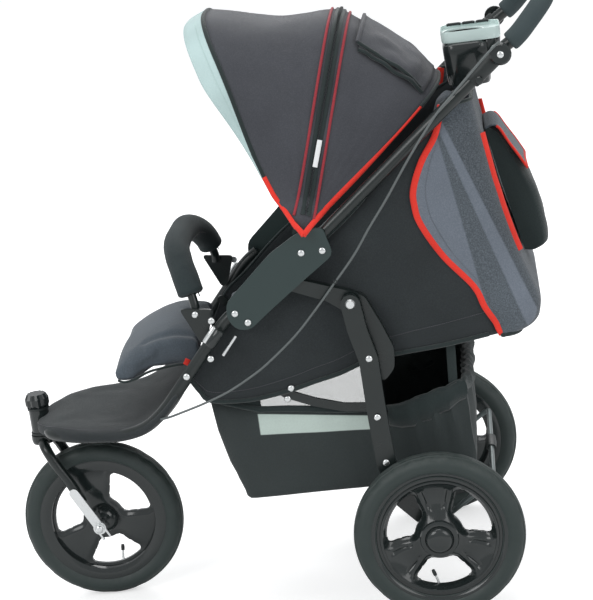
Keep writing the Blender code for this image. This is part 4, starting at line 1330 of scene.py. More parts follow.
def build_tub(size):
    """One skin from side to side under the seat, with its upper edges along the frame."""
    top = side_line([
        (-0.14, 0.504), (-0.118, 0.53), (-0.08, 0.56), (-0.035, 0.602), (0.012, 0.64), (0.062, 0.668),
        (0.11, 0.694), (0.17, 0.742), (0.23, 0.802), (0.285, 0.848), (0.352, 0.882),
    ])
    bottom = side_line([
        (-0.163, 0.464), (-0.15, 0.442), (-0.132, 0.422), (-0.063, 0.416), (0.011, 0.426), (0.06, 0.438),
        (0.104, 0.448), (0.16, 0.467), (0.225, 0.474), (0.3, 0.48), (0.392, 0.493),
    ])
    rows = []
    for high, low in zip(top, bottom):
        half = []
        for share in shares(14):
            x, z = between(high.x, low.x, share), between(high.z, low.z, share)
            belly = 0.002 * math.sin(math.pi * share)
            crease = ripple((x * 1.1, 3.0, z * 0.9), 12.0, 0.0042)
            crease += ripple((x * 2.0, 1.0, z * 0.8), 26.0, 0.0016)
            crease *= math.sin(math.pi * share)
            half.append(Vector((x, 0.1845 + belly + crease, z)))
        for step in range(1, 6):
            turn = math.pi / 2 * step / 5
            half.append(
                Vector((low.x, 0.1715 + 0.013 * math.cos(turn), low.z - 0.01 * math.sin(turn) + 0.002))
            )
        for step in range(1, 6):
            y = between(0.1715, 0.0, step / 5)
            half.append(Vector((low.x, y, low.z - 0.008 - 0.01 * (1 - (y / 0.1715) ** 2))))
        rows.append(both_sides(half))
    cloth_piece(
        "seat_tub", rows, dusk(), "seat_frame",
        pairs("seat_side"),
    )
    for label, side in SIDES.items():
        rear_end = max(p.x for p in bottom) - 0.016
        lower = [Vector((p.x, side * 0.186, p.z - 0.002)) for p in bottom if p.x < rear_end]
        sweep_piece("seat_tub_edge_" + label, lower, 0.0042, black_cloth(), "seat_frame", 10)
        upper = [Vector((p.x, side * 0.1852, p.z)) for p in top]
        sweep_piece("seat_tub_rim_" + label, upper, 0.0028, black_cloth(), "seat_frame", 8)
        line = [Vector((between(h.x, l.x, 0.9), side * 0.1872, between(h.z, l.z, 0.9)))
            for h, l in zip(top, bottom)]
        stitch_piece("seat_tub_stitches_" + label, [line], "charcoal_thread", "seat_frame")


def build_harness(size):
    repaint(gloss_plastic(), "harness_buckle")
    half = size.webbing / 2
    webbing = cloth_material("harness_webbing", (0.03, 0.033, 0.036), fleck=0.3, threads=450.0, relief=0.6,
        roughness=0.7)
    for label, side in SIDES.items():
        shoulder = smooth_path(
            [(0.356, side * 0.055, 0.8), (0.322, side * 0.056, 0.792), (0.29, side * 0.056, 0.72),
                (0.256, side * 0.054, 0.62), (0.226, side * 0.05, 0.548)], 6)
        sweep_piece("shoulder_strap_" + label, shoulder, half, webbing, "backrest", 12, depth=0.0014,
            facing=Vector((-1, 0, 0.3)))
        sleeve = smooth_path(
            [(0.308, side * 0.056, 0.77), (0.288, side * 0.056, 0.716), (0.27, side * 0.055, 0.662)], 5)
        made = sweep_piece("shoulder_pad_" + label, sleeve, half + 0.006, slate(), "backrest", 18,
            depth=0.006, facing=Vector((-1, 0, 0.3)))
        waist = smooth_path(
            [(0.2, side * 0.15, 0.52), (0.12, side * 0.11, 0.545), (0.04, side * 0.05, 0.556),
                (-0.012, side * 0.022, 0.562)], 6)
        sweep_piece("waist_strap_" + label, waist, half * 0.9, webbing, "seat_frame", 12, depth=0.0014,
            facing=Vector((0, 0, 1)))
        slider = [(0.03, side * 0.0435, 0.5585), (0.058, side * 0.063, 0.556)]
        sweep_piece("waist_slider_" + label, slider, half + 0.003, gloss_plastic(), "seat_frame", 12,
            depth=0.0035, facing=Vector((0, 0, 1)))
    crotch = smooth_path([(-0.062, 0, 0.538), (-0.052, 0, 0.556), (-0.04, 0, 0.566), (-0.03, 0, 0.568)], 5)
    sweep_piece("crotch_strap", crotch, half, webbing, "seat_frame", 12, depth=0.0014,
        facing=Vector((-1, 0, 1)))
    shape = bmesh.new()
    add_dome(shape, (-0.03, 0, 0.56), 0.0085, 0.003, (-1, 0, 0), 24)
    finish_piece("buckle_button", shape, hard_material("buckle_red", colours().red, 0.35, coat=0.2),
        "seat_frame")


class STROLLER_OT_seat(PieceOperator, bpy.types.Operator):
    """Seat tub, seat and back cushions, and the harness"""

    bl_idname = "stroller.seat"
    bl_label = "Seat"

    def build(self, size):
        build_tub(size)
        cushion = puffed("seat_cushion", "seat_pad", slate(), 0.01, 0.004, 0.0065)
        press_seams(cushion,
            [lambda p: abs(abs(p.y) - 0.085), lambda p: abs(p.x - 0.045) + (0.03 if abs(p.y) > 0.085 else 0)],
            0.006, 0.008)
        finish_pad(cushion, "seat_frame", "seat_pad")
        back = puffed("back_cushion", "backrest_pad", slate(), 0.01, 0.004, 0.0065)
        lines = [lambda p: abs(abs(p.y) - 0.08)]
        for height in (0.6, 0.7, 0.795):
            lines.append(lambda p, height=height: abs(p.z - height) + (0.03 if abs(p.y) > 0.08 else 0))
        press_seams(back, lines, 0.006, 0.008)
        finish_pad(back, "backrest", "backrest_pad")
        build_harness(size)


def build_pocket(size):
    """A soft bag with rounded sides that hangs full at the bottom, under a turned-down flap."""
    outline = [
        (0.456, 0.602), (0.476, 0.6), (0.494, 0.607), (0.4985, 0.62), (0.4955, 0.66), (0.485, 0.706),
        (0.469, 0.748), (0.45, 0.786), (0.431, 0.82), (0.408, 0.829), (0.414, 0.79), (0.431, 0.706),
    ]
    closed = side_line(outline + outline[:1])[:-1]
    shape = bmesh.new()
    loops = []
    for share in shares(28):
        y = between(-0.062, 0.062, share)
        full = 1 - abs(y / 0.062) ** 6
        ring = []
        for point in closed:
            seat = point.z * -0.1765 + 0.5485
            x = between(seat, point.x, 0.8 + 0.2 * full)
            fold = ripple((point.x * 2, y * 1.4, point.z), 16.0, 0.0045) * full
            ring.append(shape.verts.new((min(x + fold, 0.499), y, point.z + fold * 0.4)))
        loops.append(ring)
    loft(shape, loops)
    made = finish_piece("pocket_bag", shape, black_cloth(), "backrest", 60.0,
        ("rear_pocket",))
    drop = side_line(
        [(0.404, 0.83), (0.418, 0.835), (0.43, 0.829), (0.443, 0.806), (0.459, 0.779), (0.472, 0.754)]
    )
    rows = []
    for point in drop:
        row = []
        for y in range(-10, 11):
            x = point.x + ripple((point.x, y * 0.01, point.z), 10.0, 0.002)
            row.append(Vector((x, y * 0.0067, point.z)))
        rows.append(row)
    cloth_piece("pocket_flap", rows, slate(), "backrest")
    edge = [row[0] for row in rows[8:]] + rows[-1][1:-1] + [row[-1] for row in rows[:7:-1]]
    sweep_piece("pocket_flap_binding", edge, 0.0044, red_binding(), "backrest", 12, depth=0.0026,
        facing=Vector((1, 0, 0.5)))


class STROLLER_OT_back_shell(PieceOperator, bpy.types.Operator):
    """Wings and back panel in one skin, their red bindings, and the rear pocket"""

    bl_idname = "stroller.back_shell"
    bl_label = "Back shell and pocket"

    levels = [
        (0.486, 0.3965, 0.43), (0.49, 0.395, 0.444), (0.498, 0.392, 0.457), (0.512, 0.387, 0.466),
        (0.54, 0.372, 0.469), (0.58, 0.357, 0.457), (0.64, 0.31, 0.438), (0.7, 0.278, 0.423),
        (0.735, 0.271, 0.416), (0.765, 0.273, 0.41), (0.81, 0.292, 0.403), (0.85, 0.319, 0.397),
        (0.88, 0.331, 0.393), (0.905, 0.336, 0.389),
    ]

    def build(self, size):
        levels = smooth_path([Vector(level) for level in self.levels], 5)
        rows = []
        for height, front, back in levels:
            corner = min(0.035, (back - front) * 0.85)
            half = []
            for step in range(16):
                x = between(front, back - corner, step / 15)
                swell = 0.0022 * math.sin(math.pi * step / 15)
                crease = ripple((x, 1.0, height), 12.0, 0.0016)
                half.append(Vector((x, SHELL_HALF_WIDTH + swell + crease, height)))
            for step in range(1, 10):
                turn = math.pi / 2 * step / 9
                x = back - corner + corner * math.sin(turn)
                half.append(Vector((x, SHELL_HALF_WIDTH - corner + corner * math.cos(turn), height)))
            for step in range(1, 13):
                y = between(SHELL_HALF_WIDTH - corner, 0.0, step / 12)
                x = back + 0.0016 * math.cos(y * 12) + ripple((2.0, y, height), 10.0, 0.002)
                half.append(Vector((x, y, height)))
            rows.append(both_sides(half))
        cloth_piece(
            "back_shell_cloth", rows, wing_cloth(), "backrest",
            ["rear_shell"],
        )
        for label, side in SIDES.items():
            front = [Vector((row[0].x, side * abs(row[0].y), row[0].z)) for row in rows]
            sweep_piece("wing_binding_" + label, front, size.binding, red_binding(), "backrest", 14,
                depth=0.003, facing=Vector((0, 1, 0)))
            back = [Vector((row[23].x + 0.0016, side * (abs(row[23].y) + 0.0006), row[23].z)) for row in rows
                if 0.625 < row[0].z < 0.848]
            sweep_piece("back_binding_" + label, back, size.binding * 1.25, red_binding(), "backrest", 14,
                depth=0.0034, facing=Vector((0.5, side * 0.85, 0)))
            seam = [Vector((row[3].x, side * (abs(row[3].y) + 0.0016), row[3].z)) for row in rows[1:-1]]
            stitch_piece("wing_stitches_" + label, [seam], "grey_thread", "backrest")
        top = [point + Vector((0, 0, 0.0005)) for point in rows[-1]]
        sweep_piece("back_shell_top_binding", top, 0.0034, black_cloth(), "backrest", 10)
        bottom = [point + Vector((0, 0, -0.0005)) for point in rows[0]]
        sweep_piece("back_shell_bottom_binding", bottom, 0.0042, black_cloth(), "backrest", 10)
        build_pocket(size)


def hood_reach(angle):
    """How far the cloth is from the pivot at the top, sagging between the bows."""
    if angle > MIDDLE_BOW[0]:
        t = (angle - MIDDLE_BOW[0]) / (FRONT_BOW[0] - MIDDLE_BOW[0])
        return between(MIDDLE_BOW[1], FRONT_BOW[1], t) - 0.03 * math.sin(math.pi * t)
    t = max(0.0, (angle - REAR_BOW[0]) / (MIDDLE_BOW[0] - REAR_BOW[0]))
    return between(REAR_BOW[1], MIDDLE_BOW[1], t) - 0.012 * math.sin(math.pi * t)


def hood_point(angle, share, lift=0.0):
    """A point of the hood: share runs from 0 at the left pivot over the top to 1 at the right pivot."""
    turn = math.pi * share
    height = max(0.0, math.sin(turn)) ** (2 / 3)
    width = math.copysign(abs(math.cos(turn)) ** (2 / 3), math.cos(turn)) * (HOOD_HALF_WIDTH + lift)
    along = (hood_reach(angle) + lift) * height
    near = 1 - ease((along - 0.012) / 0.055)
    width += math.copysign(0.0385, width) * near if abs(width) > 0.1 else 0.0
    direction = math.radians(angle)
    forward = max(0.0, (angle - MIDDLE_BOW[0]) / (FRONT_BOW[0] - MIDDLE_BOW[0])) ** 2
    ahead = 0.0165 * forward * ease(along / 0.085) * ease((0.33 - along) / 0.23)
    x = math.cos(direction) * along - math.sin(direction) * ahead
    return HOOD_PIVOT + Vector((x, -width, math.sin(direction) * along + math.cos(direction) * ahead))


def wrinkled_point(angle, share, edge):
    """A cloth point with soft folds that fade out at the seams and gather towards the pivots."""
    point = hood_point(angle, share)
    height = math.sin(math.pi * share)
    soft = ripple((point.x, point.y * 0.6, point.z), 7.0, 0.006)
    soft += ripple((point.x, point.y, point.z), 19.0, 0.0022)
    fan = 0.0012 * math.sin(angle * 1.1 + 4 * share) * (1 - height) ** 2
    out = Vector(
        (math.cos(math.radians(angle)) * height, -math.cos(math.pi * share),
            math.sin(math.radians(angle)) * height)
    ).normalized()
    fade = ease(edge) * ease(height * 3)
    return point + out * ((soft + fan) * fade)


def hood_skin(name, first, last, stations, node):
    rows = []
    for t in shares(stations):
        angle, edge = between(first, last, t), min(t, 1 - t) * 6
        rows.append([wrinkled_point(angle, between(0.002, 0.998, share), edge) for share in shares(90)])
    return cloth_piece(name, rows, charcoal(), None, [node])


def hood_arch(angle, first, last, steps, lift):
    return [hood_point(angle, between(first, last, share), lift) for share in shares(steps)]


def hood_facing(route, angle):
    """Outward directions along an arch, for flat trims."""
    ahead = Vector((-math.sin(math.radians(angle)), 0, math.cos(math.radians(angle))))
    return [(after - before).cross(ahead).normalized() for before, after in around(route)]


def build_zip():
    for label, offset in (("front", 0.0165), ("rear", -0.0165)):
        route = beside_zip(offset, 0.0028)
        sweep_piece("hood_piping_" + label, route, sizes().piping * 1.35, dull_piping(), "hood_middle", 8)
    for label, offset in (("front", 0.0052), ("rear", -0.0052)):
        route = beside_zip(offset, 0.0022)
        sweep_piece("hood_zip_tape_" + label, route, 0.004, black_cloth(), "hood_middle", 8, depth=0.0011,
            facing=hood_facing(route, ZIP_ANGLE))
    route = hood_arch(ZIP_ANGLE, 0.012, 0.988, 300, 0.0038)
    shape = bmesh.new()
    total, next_mark, count = 0.0, 0.0, 0
    square = Vector((-math.sin(math.radians(ZIP_ANGLE)), 0, math.cos(math.radians(ZIP_ANGLE))))
    for start, end in zip(route, route[1:]):
        span = (end - start).length
        while next_mark <= total + span:
            middle = start.lerp(end, (next_mark - total) / span)
            ahead = square * (0.0011 if count % 2 else -0.0011)
            half = (end - start).normalized() * 0.0009
            add_sweep(shape, [middle + ahead - half, middle + ahead, middle + ahead + half],
                [0.0012, 0.0016, 0.0012], 6)
            next_mark += sizes().zip_pitch
            count += 1
        total += span
    finish_piece("hood_zip_teeth", shape, matt_plastic(), "hood_middle", 60.0)
    pull = hood_point(ZIP_ANGLE, 0.965, 0.006)
    sweep_piece("hood_zip_pull",
        [pull, pull + Vector((-0.002, -0.001, -0.008)), pull + Vector((-0.003, -0.001, -0.018))],
        [0.0026, 0.0034, 0.002], plated_steel(), "hood_middle", 10, depth=0.0012)
    tag = [hood_point(72.6, between(0.058, 0.098, step), 0.0055) for step in shares(8)]
    sweep_piece("hood_blank_tag", tag, 0.0042,
        cloth_material("white_tape", (0.8, 0.82, 0.82), (0.9, 0.9, 0.9), 0.2, 1200.0, 0.15, 0.6, 0.0, 0.0),
        "hood_middle", 8, depth=0.0008, facing=Vector((0, -1, 0)))


def beside_zip(offset, lift):
    """A line that stays this far in front of the zip, down to where the hood's two edges meet."""
    route = []
    for step in shares(160):
        share = between(0.004, 0.996, step)
        distance = (hood_point(ZIP_ANGLE, share) - HOOD_PIVOT).dot(ray(ZIP_ANGLE))
        if distance > max(0.022, abs(offset) * 1.9):
            angle = ZIP_ANGLE + math.degrees(math.asin(offset / distance))
            route.append(hood_point(angle, share, lift))
    return route


def edge_front():
    """Black binding along the front, and red from both pivots up to where the visor starts."""
    route = hood_arch(FRONT_BOW[0] + 0.4, 0.046, 0.954, 110, 0.0)
    sweep_piece("hood_front_binding", route, 0.0042, black_cloth(), "hood_front", 10, depth=0.0032,
        facing=hood_facing(route, FRONT_BOW[0] + 0.4))
    for label, first, last in (("left", 0.003, 0.05), ("right", 0.95, 0.997)):
        route = hood_arch(FRONT_BOW[0] + 0.2, first, last, 24, 0.0006)
        sweep_piece("hood_front_red_" + label, route, sizes().binding * 0.72, red_binding(), "hood_front", 12,
            depth=0.0034, facing=Vector((0, 1, 0)))


def edge_rear():
    for label, side in SIDES.items():
        high_front = hood_point(FRONT_BOW[0] + 0.2, 0.005 if side < 0 else 0.995, 0.0006)
        high_rear = hood_point(REAR_EDGE, 0.019 if side < 0 else 0.981, 0.0006)
        foot = HOOD_PIVOT + Vector((0.004, side * 0.24, 0.0075))
        halves = (("front", high_front, "hood_front"), ("rear", high_rear, "seat_frame"))
        for end, high, body in halves:
            route = smooth_path([high, high.lerp(foot, 0.6), foot + Vector((0, 0, -0.002))], 5)
            sweep_piece(f"hood_point_red_{end}_{label}", route, sizes().binding * 0.8, red_binding(), body,
                12, depth=0.0034, facing=Vector((0, 1, 0)))
    for label, first, last in (("left", 0.018, 0.3), ("right", 0.78, 0.982)):
        route = hood_arch(REAR_EDGE, first, last, 70, 0.0004)
        size = [between(1.0, 0.5, ease(step / 50)) * sizes().binding * 0.8 for step in range(71)]
        sweep_piece("hood_rear_red_" + label, route, size if label == "left" else size[::-1], red_binding(),
            "seat_frame", 12, depth=0.0032, facing=hood_facing(route, REAR_EDGE))
    route = hood_arch(REAR_EDGE, 0.3, 0.78, 50, 0.0004)
    sweep_piece("hood_rear_binding", route, 0.0036, black_cloth(), "seat_frame", 10)


def build_visor():
    """A pale peak, even along the sides and narrowing to a point near the pivots."""
    rows = []
    for t in shares(8):
        row = []
        for step in shares(80):
            share = between(0.048, 0.952, step)
            inner = hood_point(FRONT_BOW[0] + 0.6, share, -0.0005)
            along = (inner - HOOD_PIVOT).length
            rise = ease((min(share, 1 - share) - 0.04) / 0.2)
            width = between(0.001, 0.037, rise) - 0.004 * math.sin(math.pi * share) ** 6
            ahead = ray(FRONT_BOW[0] + 78)
            inward = Vector((0, math.copysign(0.1, -inner.y) if abs(inner.y) > 0.12 else -inner.y * 0.8, 0))
            drop = Vector((0.0, 0.0, -0.012)) * t * math.sin(math.pi * share) ** 2
            row.append(inner + (ahead + inward) * (width * math.sin(t * math.pi / 2) ** 1.1) + drop)
        rows.append(row)
    cloth_piece(
        "hood_visor_peak", rows, mint_cloth(), "hood_front",
        ["hood_visor"], 0.004,
    )
    sweep_piece("hood_visor_edge", rows[-1], 0.003, mint_cloth(), "hood_front", 10)
    stitch_piece("hood_visor_stitches",
        [[p + Vector((-0.001, math.copysign(0.0024, p.y), 0.0012)) for p in rows[2][6:-6]]], "mint_thread",
        "hood_front")


def build_flap():
    """Two layers turned back over the rear of the roof, with a fold along their upper end."""
    for number, (first, last, low, high, lift) in enumerate(
            ((41.5, 66.0, 0.34, 0.66, 0.0045), (43.0, 67.0, 0.352, 0.648, 0.0085))
    ):
        rows = []
        for t in shares(20):
            angle = between(first, last, t)
            rise = lift * ease(t * 4) * (1 if number else ease((1 - t) * 6 + 0.3))
            row = []
            for step in shares(40):
                share = between(low, high, step)
                wave = ripple((angle * 0.02, share * 2.2, 5.0 + number), 9.0, 0.005)
                row.append(hood_point(angle, share, 0.003 + rise + wave * ease(min(t, 1 - t) * 5)))
            rows.append(row)
        name = f"roof_flap_layer_{number + 1}"
        made = cloth_piece(name, rows, charcoal(), None,
            ["roof_flap"])
        follow_rear(made)
        for label, column in (("left", 0), ("right", -1)):
            hem = [row[column] for row in rows]
            roll = sweep_piece(f"roof_flap_hem_{number + 1}_{label}", hem, 0.0034, black_cloth(), None, 10)
            follow_rear(roll)
        if number:
            roll = sweep_piece("roof_flap_roll", rows[-1], 0.0036, charcoal(), None, 14)
            follow_rear(roll)


def follow_rear(made):
    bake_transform(made)


class STROLLER_OT_hood(PieceOperator, bpy.types.Operator):
    """Hood cloth, visor, zip, pipings, binding and the rolled rear flap"""

    bl_idname = "stroller.hood"
    bl_label = "Hood"

    def build(self, size):
        front = hood_skin("hood_cloth_front", MIDDLE_BOW[0] + 0.6, FRONT_BOW[0], 26, "hood_front_cloth")
        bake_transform(front)
        rear = hood_skin("hood_cloth_rear", REAR_EDGE, MIDDLE_BOW[0] + 0.6, 22, "hood_rear_cloth")
        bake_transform(rear)
        build_zip()
        edge_front()
        edge_rear()
        build_visor()
        build_flap()


def oval_ring(shape, centre, half_x, half_y, height, squareness, steps=64):
    made = []
    for step in range(steps):
        turn = 2 * math.pi * step / steps
        x = math.copysign(abs(math.cos(turn)) ** squareness, math.cos(turn)) * half_x
        y = math.copysign(abs(math.sin(turn)) ** squareness, math.sin(turn)) * half_y
        made.append(shape.verts.new((centre + x, y, height)))
    return made


def build_brackets():
    """The moulded block behind the cup, and the arms that clamp on the push tubes."""
    shape = bmesh.new()
    levels = ((0.935, 0.426, 0.012, 0.034), (0.938, 0.427, 0.015, 0.038), (0.96, 0.431, 0.017, 0.042),
        (0.982, 0.434, 0.017, 0.044), (0.985, 0.434, 0.0155, 0.042))
    rings = [oval_ring(shape, centre, x, y, height, 0.5, 40) for height, centre, x, y in levels]
    loft(shape, rings)
    finish_piece("console_block", shape, gloss_plastic(), "seat_frame", 40.0)
    for label, side in SIDES.items():
        route = rounded_path(
            [(0.417, side * 0.04, 0.952), (0.417, side * 0.184, 0.952), (0.417, side * 0.1925, 0.959)], 0.006)
        sweep_piece("console_arm_" + label, route, 0.012, matt_plastic(), "seat_frame", 20, depth=0.009)
        spots = ((0.393, 0.9417), (0.395, 0.9433), (0.434, 0.9752), (0.436, 0.9768))
        sleeve = [(x, side * TUBE_SIDE, z) for x, z in spots]
        sweep_piece("console_clamp_" + label, sleeve, [0.0128, 0.0142, 0.0142, 0.0128], matt_plastic(),
            "seat_frame", 24)
        knob = [(0.0, 0.0), (0.0068, 0.0), (0.0072, 0.001), (0.0072, 0.0062), (0.006, 0.0076), (0.0, 0.008)]
        lathe_piece("console_clamp_knob_" + label, knob, (0.406, side * 0.215, 0.944), gloss_plastic(),
            "seat_frame", 24, side=side)


def build_tray():
    """A shallow pale tray round the cup, with a raised rim and a dark lip along its right edge."""
    shape = bmesh.new()
    spots = ((0.98, 0.9854), (0.995, 0.988), (1.0, 0.995), (1.0, 1.003), (0.99, 1.0055), (0.972, 1.005),
        (0.962, 0.998))
    rings = [oval_ring(shape, 0.399, 0.053 * scale, 0.048 * scale, height, 0.34, 96)
        for scale, height in spots]
    inner = ((0.04, 0.997), (0.0375, 0.9992), (0.0352, 0.9988), (0.0345, 0.996), (0.0345, 0.9854))
    floor = [oval_ring(shape, 0.386, radius, radius, height, 1.0, 96) for radius, height in inner]
    loft(shape, rings + floor, capped=False)
    ring_faces(shape, floor[-1], rings[0])
    finish_piece("tray_shell", shape, mint_plastic(), "seat_frame", 40.0, ("console_tray",))
    liner = [(0.0338, 0.981), (0.0343, 0.982), (0.0343, 0.9955), (0.0338, 0.996), (0.033, 0.9955),
        (0.0324, 0.94), (0.033, 0.94)]
    lathe_piece("tray_cup_liner", liner, (0.386, 0, 0), gloss_plastic(), "seat_frame", 56, axis="Z")
    for number, (start, end) in enumerate(((0.358, 0.383), (0.386, 0.408), (0.411, 0.433))):
        spots = ((start, 1.0042), (start + 0.003, 1.0052), (end - 0.003, 1.0052), (end, 1.0042))
        lip = [(x, 0.045, z) for x, z in spots]
        sweep_piece(f"tray_lip_{number + 1}", lip, 0.0026, matt_plastic(), "seat_frame", 10)


class STROLLER_OT_console(PieceOperator, bpy.types.Operator):
    """Cup holder with its pale tray"""

    bl_idname = "stroller.console"
    bl_label = "Cup tray"

    def build(self, size):
        levels = (
            (0.907, 0.032, 0.045), (0.908, 0.0365, 0.05), (0.913, 0.0385, 0.053), (0.94, 0.04, 0.0545),
            (0.964, 0.0415, 0.0555), (0.9745, 0.0418, 0.0558), (0.981, 0.0405, 0.0545),
            (0.9845, 0.037, 0.051), (0.985, 0.035, 0.049),
        )
        shape = bmesh.new()
        rings = [oval_ring(shape, 0.3885, x, y, height, 0.42) for height, x, y in levels]
        inner = ((0.985, 0.0342), (0.978, 0.0336), (0.925, 0.0316), (0.9165, 0.029))
        rings += [oval_ring(shape, 0.386, radius, radius, height, 1.0) for height, radius in inner]
        loft(shape, rings)
        finish_piece("console_cup", shape, gloss_plastic(), "seat_frame", 35.0, ("console",))
        build_brackets()
        build_tray()


def build_skirt():
    """Cloth that closes the basket's front end up to the seat."""
    corners = [(-0.05, 0.1655), (-0.09, 0.166), (-0.136, 0.1665), (-0.146, 0.164), (-0.149, 0.152),
        (-0.149, 0.075), (-0.149, 0.0)]
    path = smooth_path(
        [Vector((x, -y, 0)) for x, y in corners] + [Vector((x, y, 0)) for x, y in corners[-2::-1]], 4)
    rows = []
    for t in shares(8):
        row = []
        for spot in path:
            high = between(0.412, 0.43, ease((-0.1 - spot.x) / 0.04))
            low = rim_height(spot.x) - 0.006
            lean = between(0.006, 0.0, t)
            x = spot.x + lean + ripple((spot.y, low, t * 0.1), 16.0, 0.002)
            row.append(Vector((x, spot.y, between(low, high, t))))
        rows.append(row)
    cloth_piece("basket_front_skirt", rows, black_cloth(), "seat_frame")


def build_cuff(rim):
    """The rear rim turned over into a loose cuff that droops at the sides."""
    start = next(index for index, point in enumerate(rim) if point.y < -0.1 and point.x > 0.175)
    path = [point for point in rim[start:] + rim[:start] if point.x > 0.175]
    total = len(path) - 1
    rows = []
    for t in shares(8):
        row = []
        for index, point in enumerate(path):
            away = Vector(
                (max(0.0, point.x - 0.24) * 8, math.copysign(1.0, point.y) if abs(point.y) > 0.12 else 0.0, 0)
            ).normalized()
            along = index / total
            droop = 0.016 * math.exp(-((min(along, 1 - along) - 0.1) / 0.07) ** 2)
            depth = 0.036 + droop + ripple((along * 3, 2.0, 1.0), 3.0, 0.006)
            bulge = 0.0105 * math.sin(math.pi * min(1.0, t * 0.9 + 0.1)) + 0.0035 * math.sin(along * 40) * t
            row.append(point + away * bulge + Vector((0, 0, 0.004 - depth * t)))
        rows.append(row)
    cloth_piece("basket_rear_cuff", rows, black_cloth(), "seat_frame")


def rounded_outline(front, back, half_width, corner, count=144):
    """Evenly spaced spots round a rounded rectangle, from the middle of its back, with outward directions."""
    middle, half = (front + back) / 2, (back - front) / 2
    dense = [Vector((half, 0, 0))]
    for first, (sx, sy) in enumerate(((1, 1), (-1, 1), (-1, -1), (1, -1))):
        for step in range(13):
            turn = math.radians(90 * first + 90 * step / 12)
            spot = Vector(
                (sx * (half - corner) + corner * math.cos(turn),
                    sy * (half_width - corner) + corner * math.sin(turn), 0)
            )
            dense.append(spot)
    dense.append(Vector((half, 0, 0)))
    lengths = [0.0]
    for a, b in zip(dense, dense[1:]):
        lengths.append(lengths[-1] + (b - a).length)
    made, index = [], 0
    for step in range(count + 1):
        target = lengths[-1] * step / count
        while index < len(lengths) - 2 and lengths[index + 1] < target:
            index += 1
        span = max(1e-9, lengths[index + 1] - lengths[index])
        spot = dense[index].lerp(dense[index + 1], min(1.0, (target - lengths[index]) / span))
        u, v = spot.x / half, spot.y / half_width
        out = Vector((math.copysign(abs(u) ** 9, u), math.copysign(abs(v) ** 9, v), 0)).normalized()
        made.append((middle + spot.x, spot.y, out))
    return made


def rim_height(x):
    front, rear = max(0.0, (-0.05 - x) / 0.09), max(0.0, (x - 0.2) / 0.13)
    return 0.386 - 0.0195 * ease((x + 0.06) / 0.21) + front * 0.03 + rear * 0.036


def rim_gathers(x, y, turn):
    strength = ease((x - 0.17) / 0.08)
    return 0.0045 * math.sin(turn * 46) * strength


def build_rails():
    """A flat rail along each upper side."""
    for label, side in SIDES.items():
        y = side * 0.1685
        spots = [(-0.1, side * 0.168, 0.404), (-0.057, y, 0.391), (0.006, y, 0.385), (0.08, y, 0.376),
            (0.158, y, 0.369)]
        route = smooth_path(spots, 8)
        sweep_piece("basket_rail_" + label, route, 0.0052, black_cloth(), "seat_frame", 10, depth=0.0022,
            facing=Vector((0, 1, 0)))


def build_straps():
    """Short straps from the basket's corners up to the seat."""
    for label, side in SIDES.items():
        for number, (x, low, high) in enumerate(((-0.105, 0.395, 0.43), (0.3, 0.398, 0.478))):
            middle = (low + high) / 2
            route = [(x, side * 0.16, low), (x + 0.002, side * 0.166, middle),
                (x + 0.004, side * 0.172, high)]
            sweep_piece(f"basket_strap_{number + 1}_{label}", smooth_path(route, 4), 0.0085, black_cloth(),
                "seat_frame", 10, depth=0.0011, facing=Vector((0, 1, 0)))


class STROLLER_OT_basket(PieceOperator, bpy.types.Operator):
    """Cloth basket with its rails and gathered rear rim"""

    bl_idname = "stroller.basket"
    bl_label = "Basket"

    def build(self, size):
        levels = [
            (-0.098, 0.318, 0.163, 0.014, 0.219), (-0.103, 0.324, 0.1665, 0.016, 0.2225),
            (-0.107, 0.327, 0.168, 0.018, 0.234), (-0.113, 0.33, 0.169, 0.02, 0.26),
            (-0.121, 0.331, 0.17, 0.024, 0.29), (-0.129, 0.331, 0.17, 0.028, 0.32),
            (-0.136, 0.33, 0.17, 0.03, 0.348), (-0.143, 0.326, 0.169, 0.032, None),
        ]
        rows = []
        for number, (front, back, half_width, corner, height) in enumerate(levels):
            row = []
            share = number / (len(levels) - 1)
            for step, (x, y, out) in enumerate(rounded_outline(front, back, half_width, corner)):
                turn = 2 * math.pi * step / 144
                top = rim_height(x)
                z = top if height is None else min(height, top - 0.012)
                gather = rim_gathers(x, y, turn) * ease(share * 1.4 - 0.2)
                sag = ripple((x, y, z), 11.0, 0.0085) + ripple((x + z * 0.6, y, z * 0.5), 28.0, 0.0022)
                sag *= math.sin(math.pi * min(1, share * 0.9 + 0.1))
                row.append(Vector((x, y, z)) - out * (0.002 + abs(sag)) + out * gather)
            row[-1] = row[0].copy()
            rows.append(row)
        floor = []
        for scale in (0.0, 0.35, 0.7, 0.92):
            ring = []
            for p in rows[0]:
                z = p.z - 0.002 * (1 - scale) + ripple((p.x * scale, p.y * scale, 0), 12.0, 0.0015)
                ring.append(Vector((between(0.112, p.x, scale), p.y * scale, z)))
            floor.append(ring)
        cloth_piece(
            "basket_cloth_tub", floor + rows, basket_cloth(), "seat_frame",
            ["basket"],
        )
        rim = rows[-1][:-1]
        shape = bmesh.new()
        add_sweep(shape, rim, [0.0044 + 0.0016 * ease((p.x - 0.16) / 0.1) for p in rim], 10, closed=True)
        finish_piece("basket_rim_binding", shape, black_cloth(), "seat_frame", 60.0)
        build_rails()
        build_straps()
        build_skirt()
        build_cuff(rim)


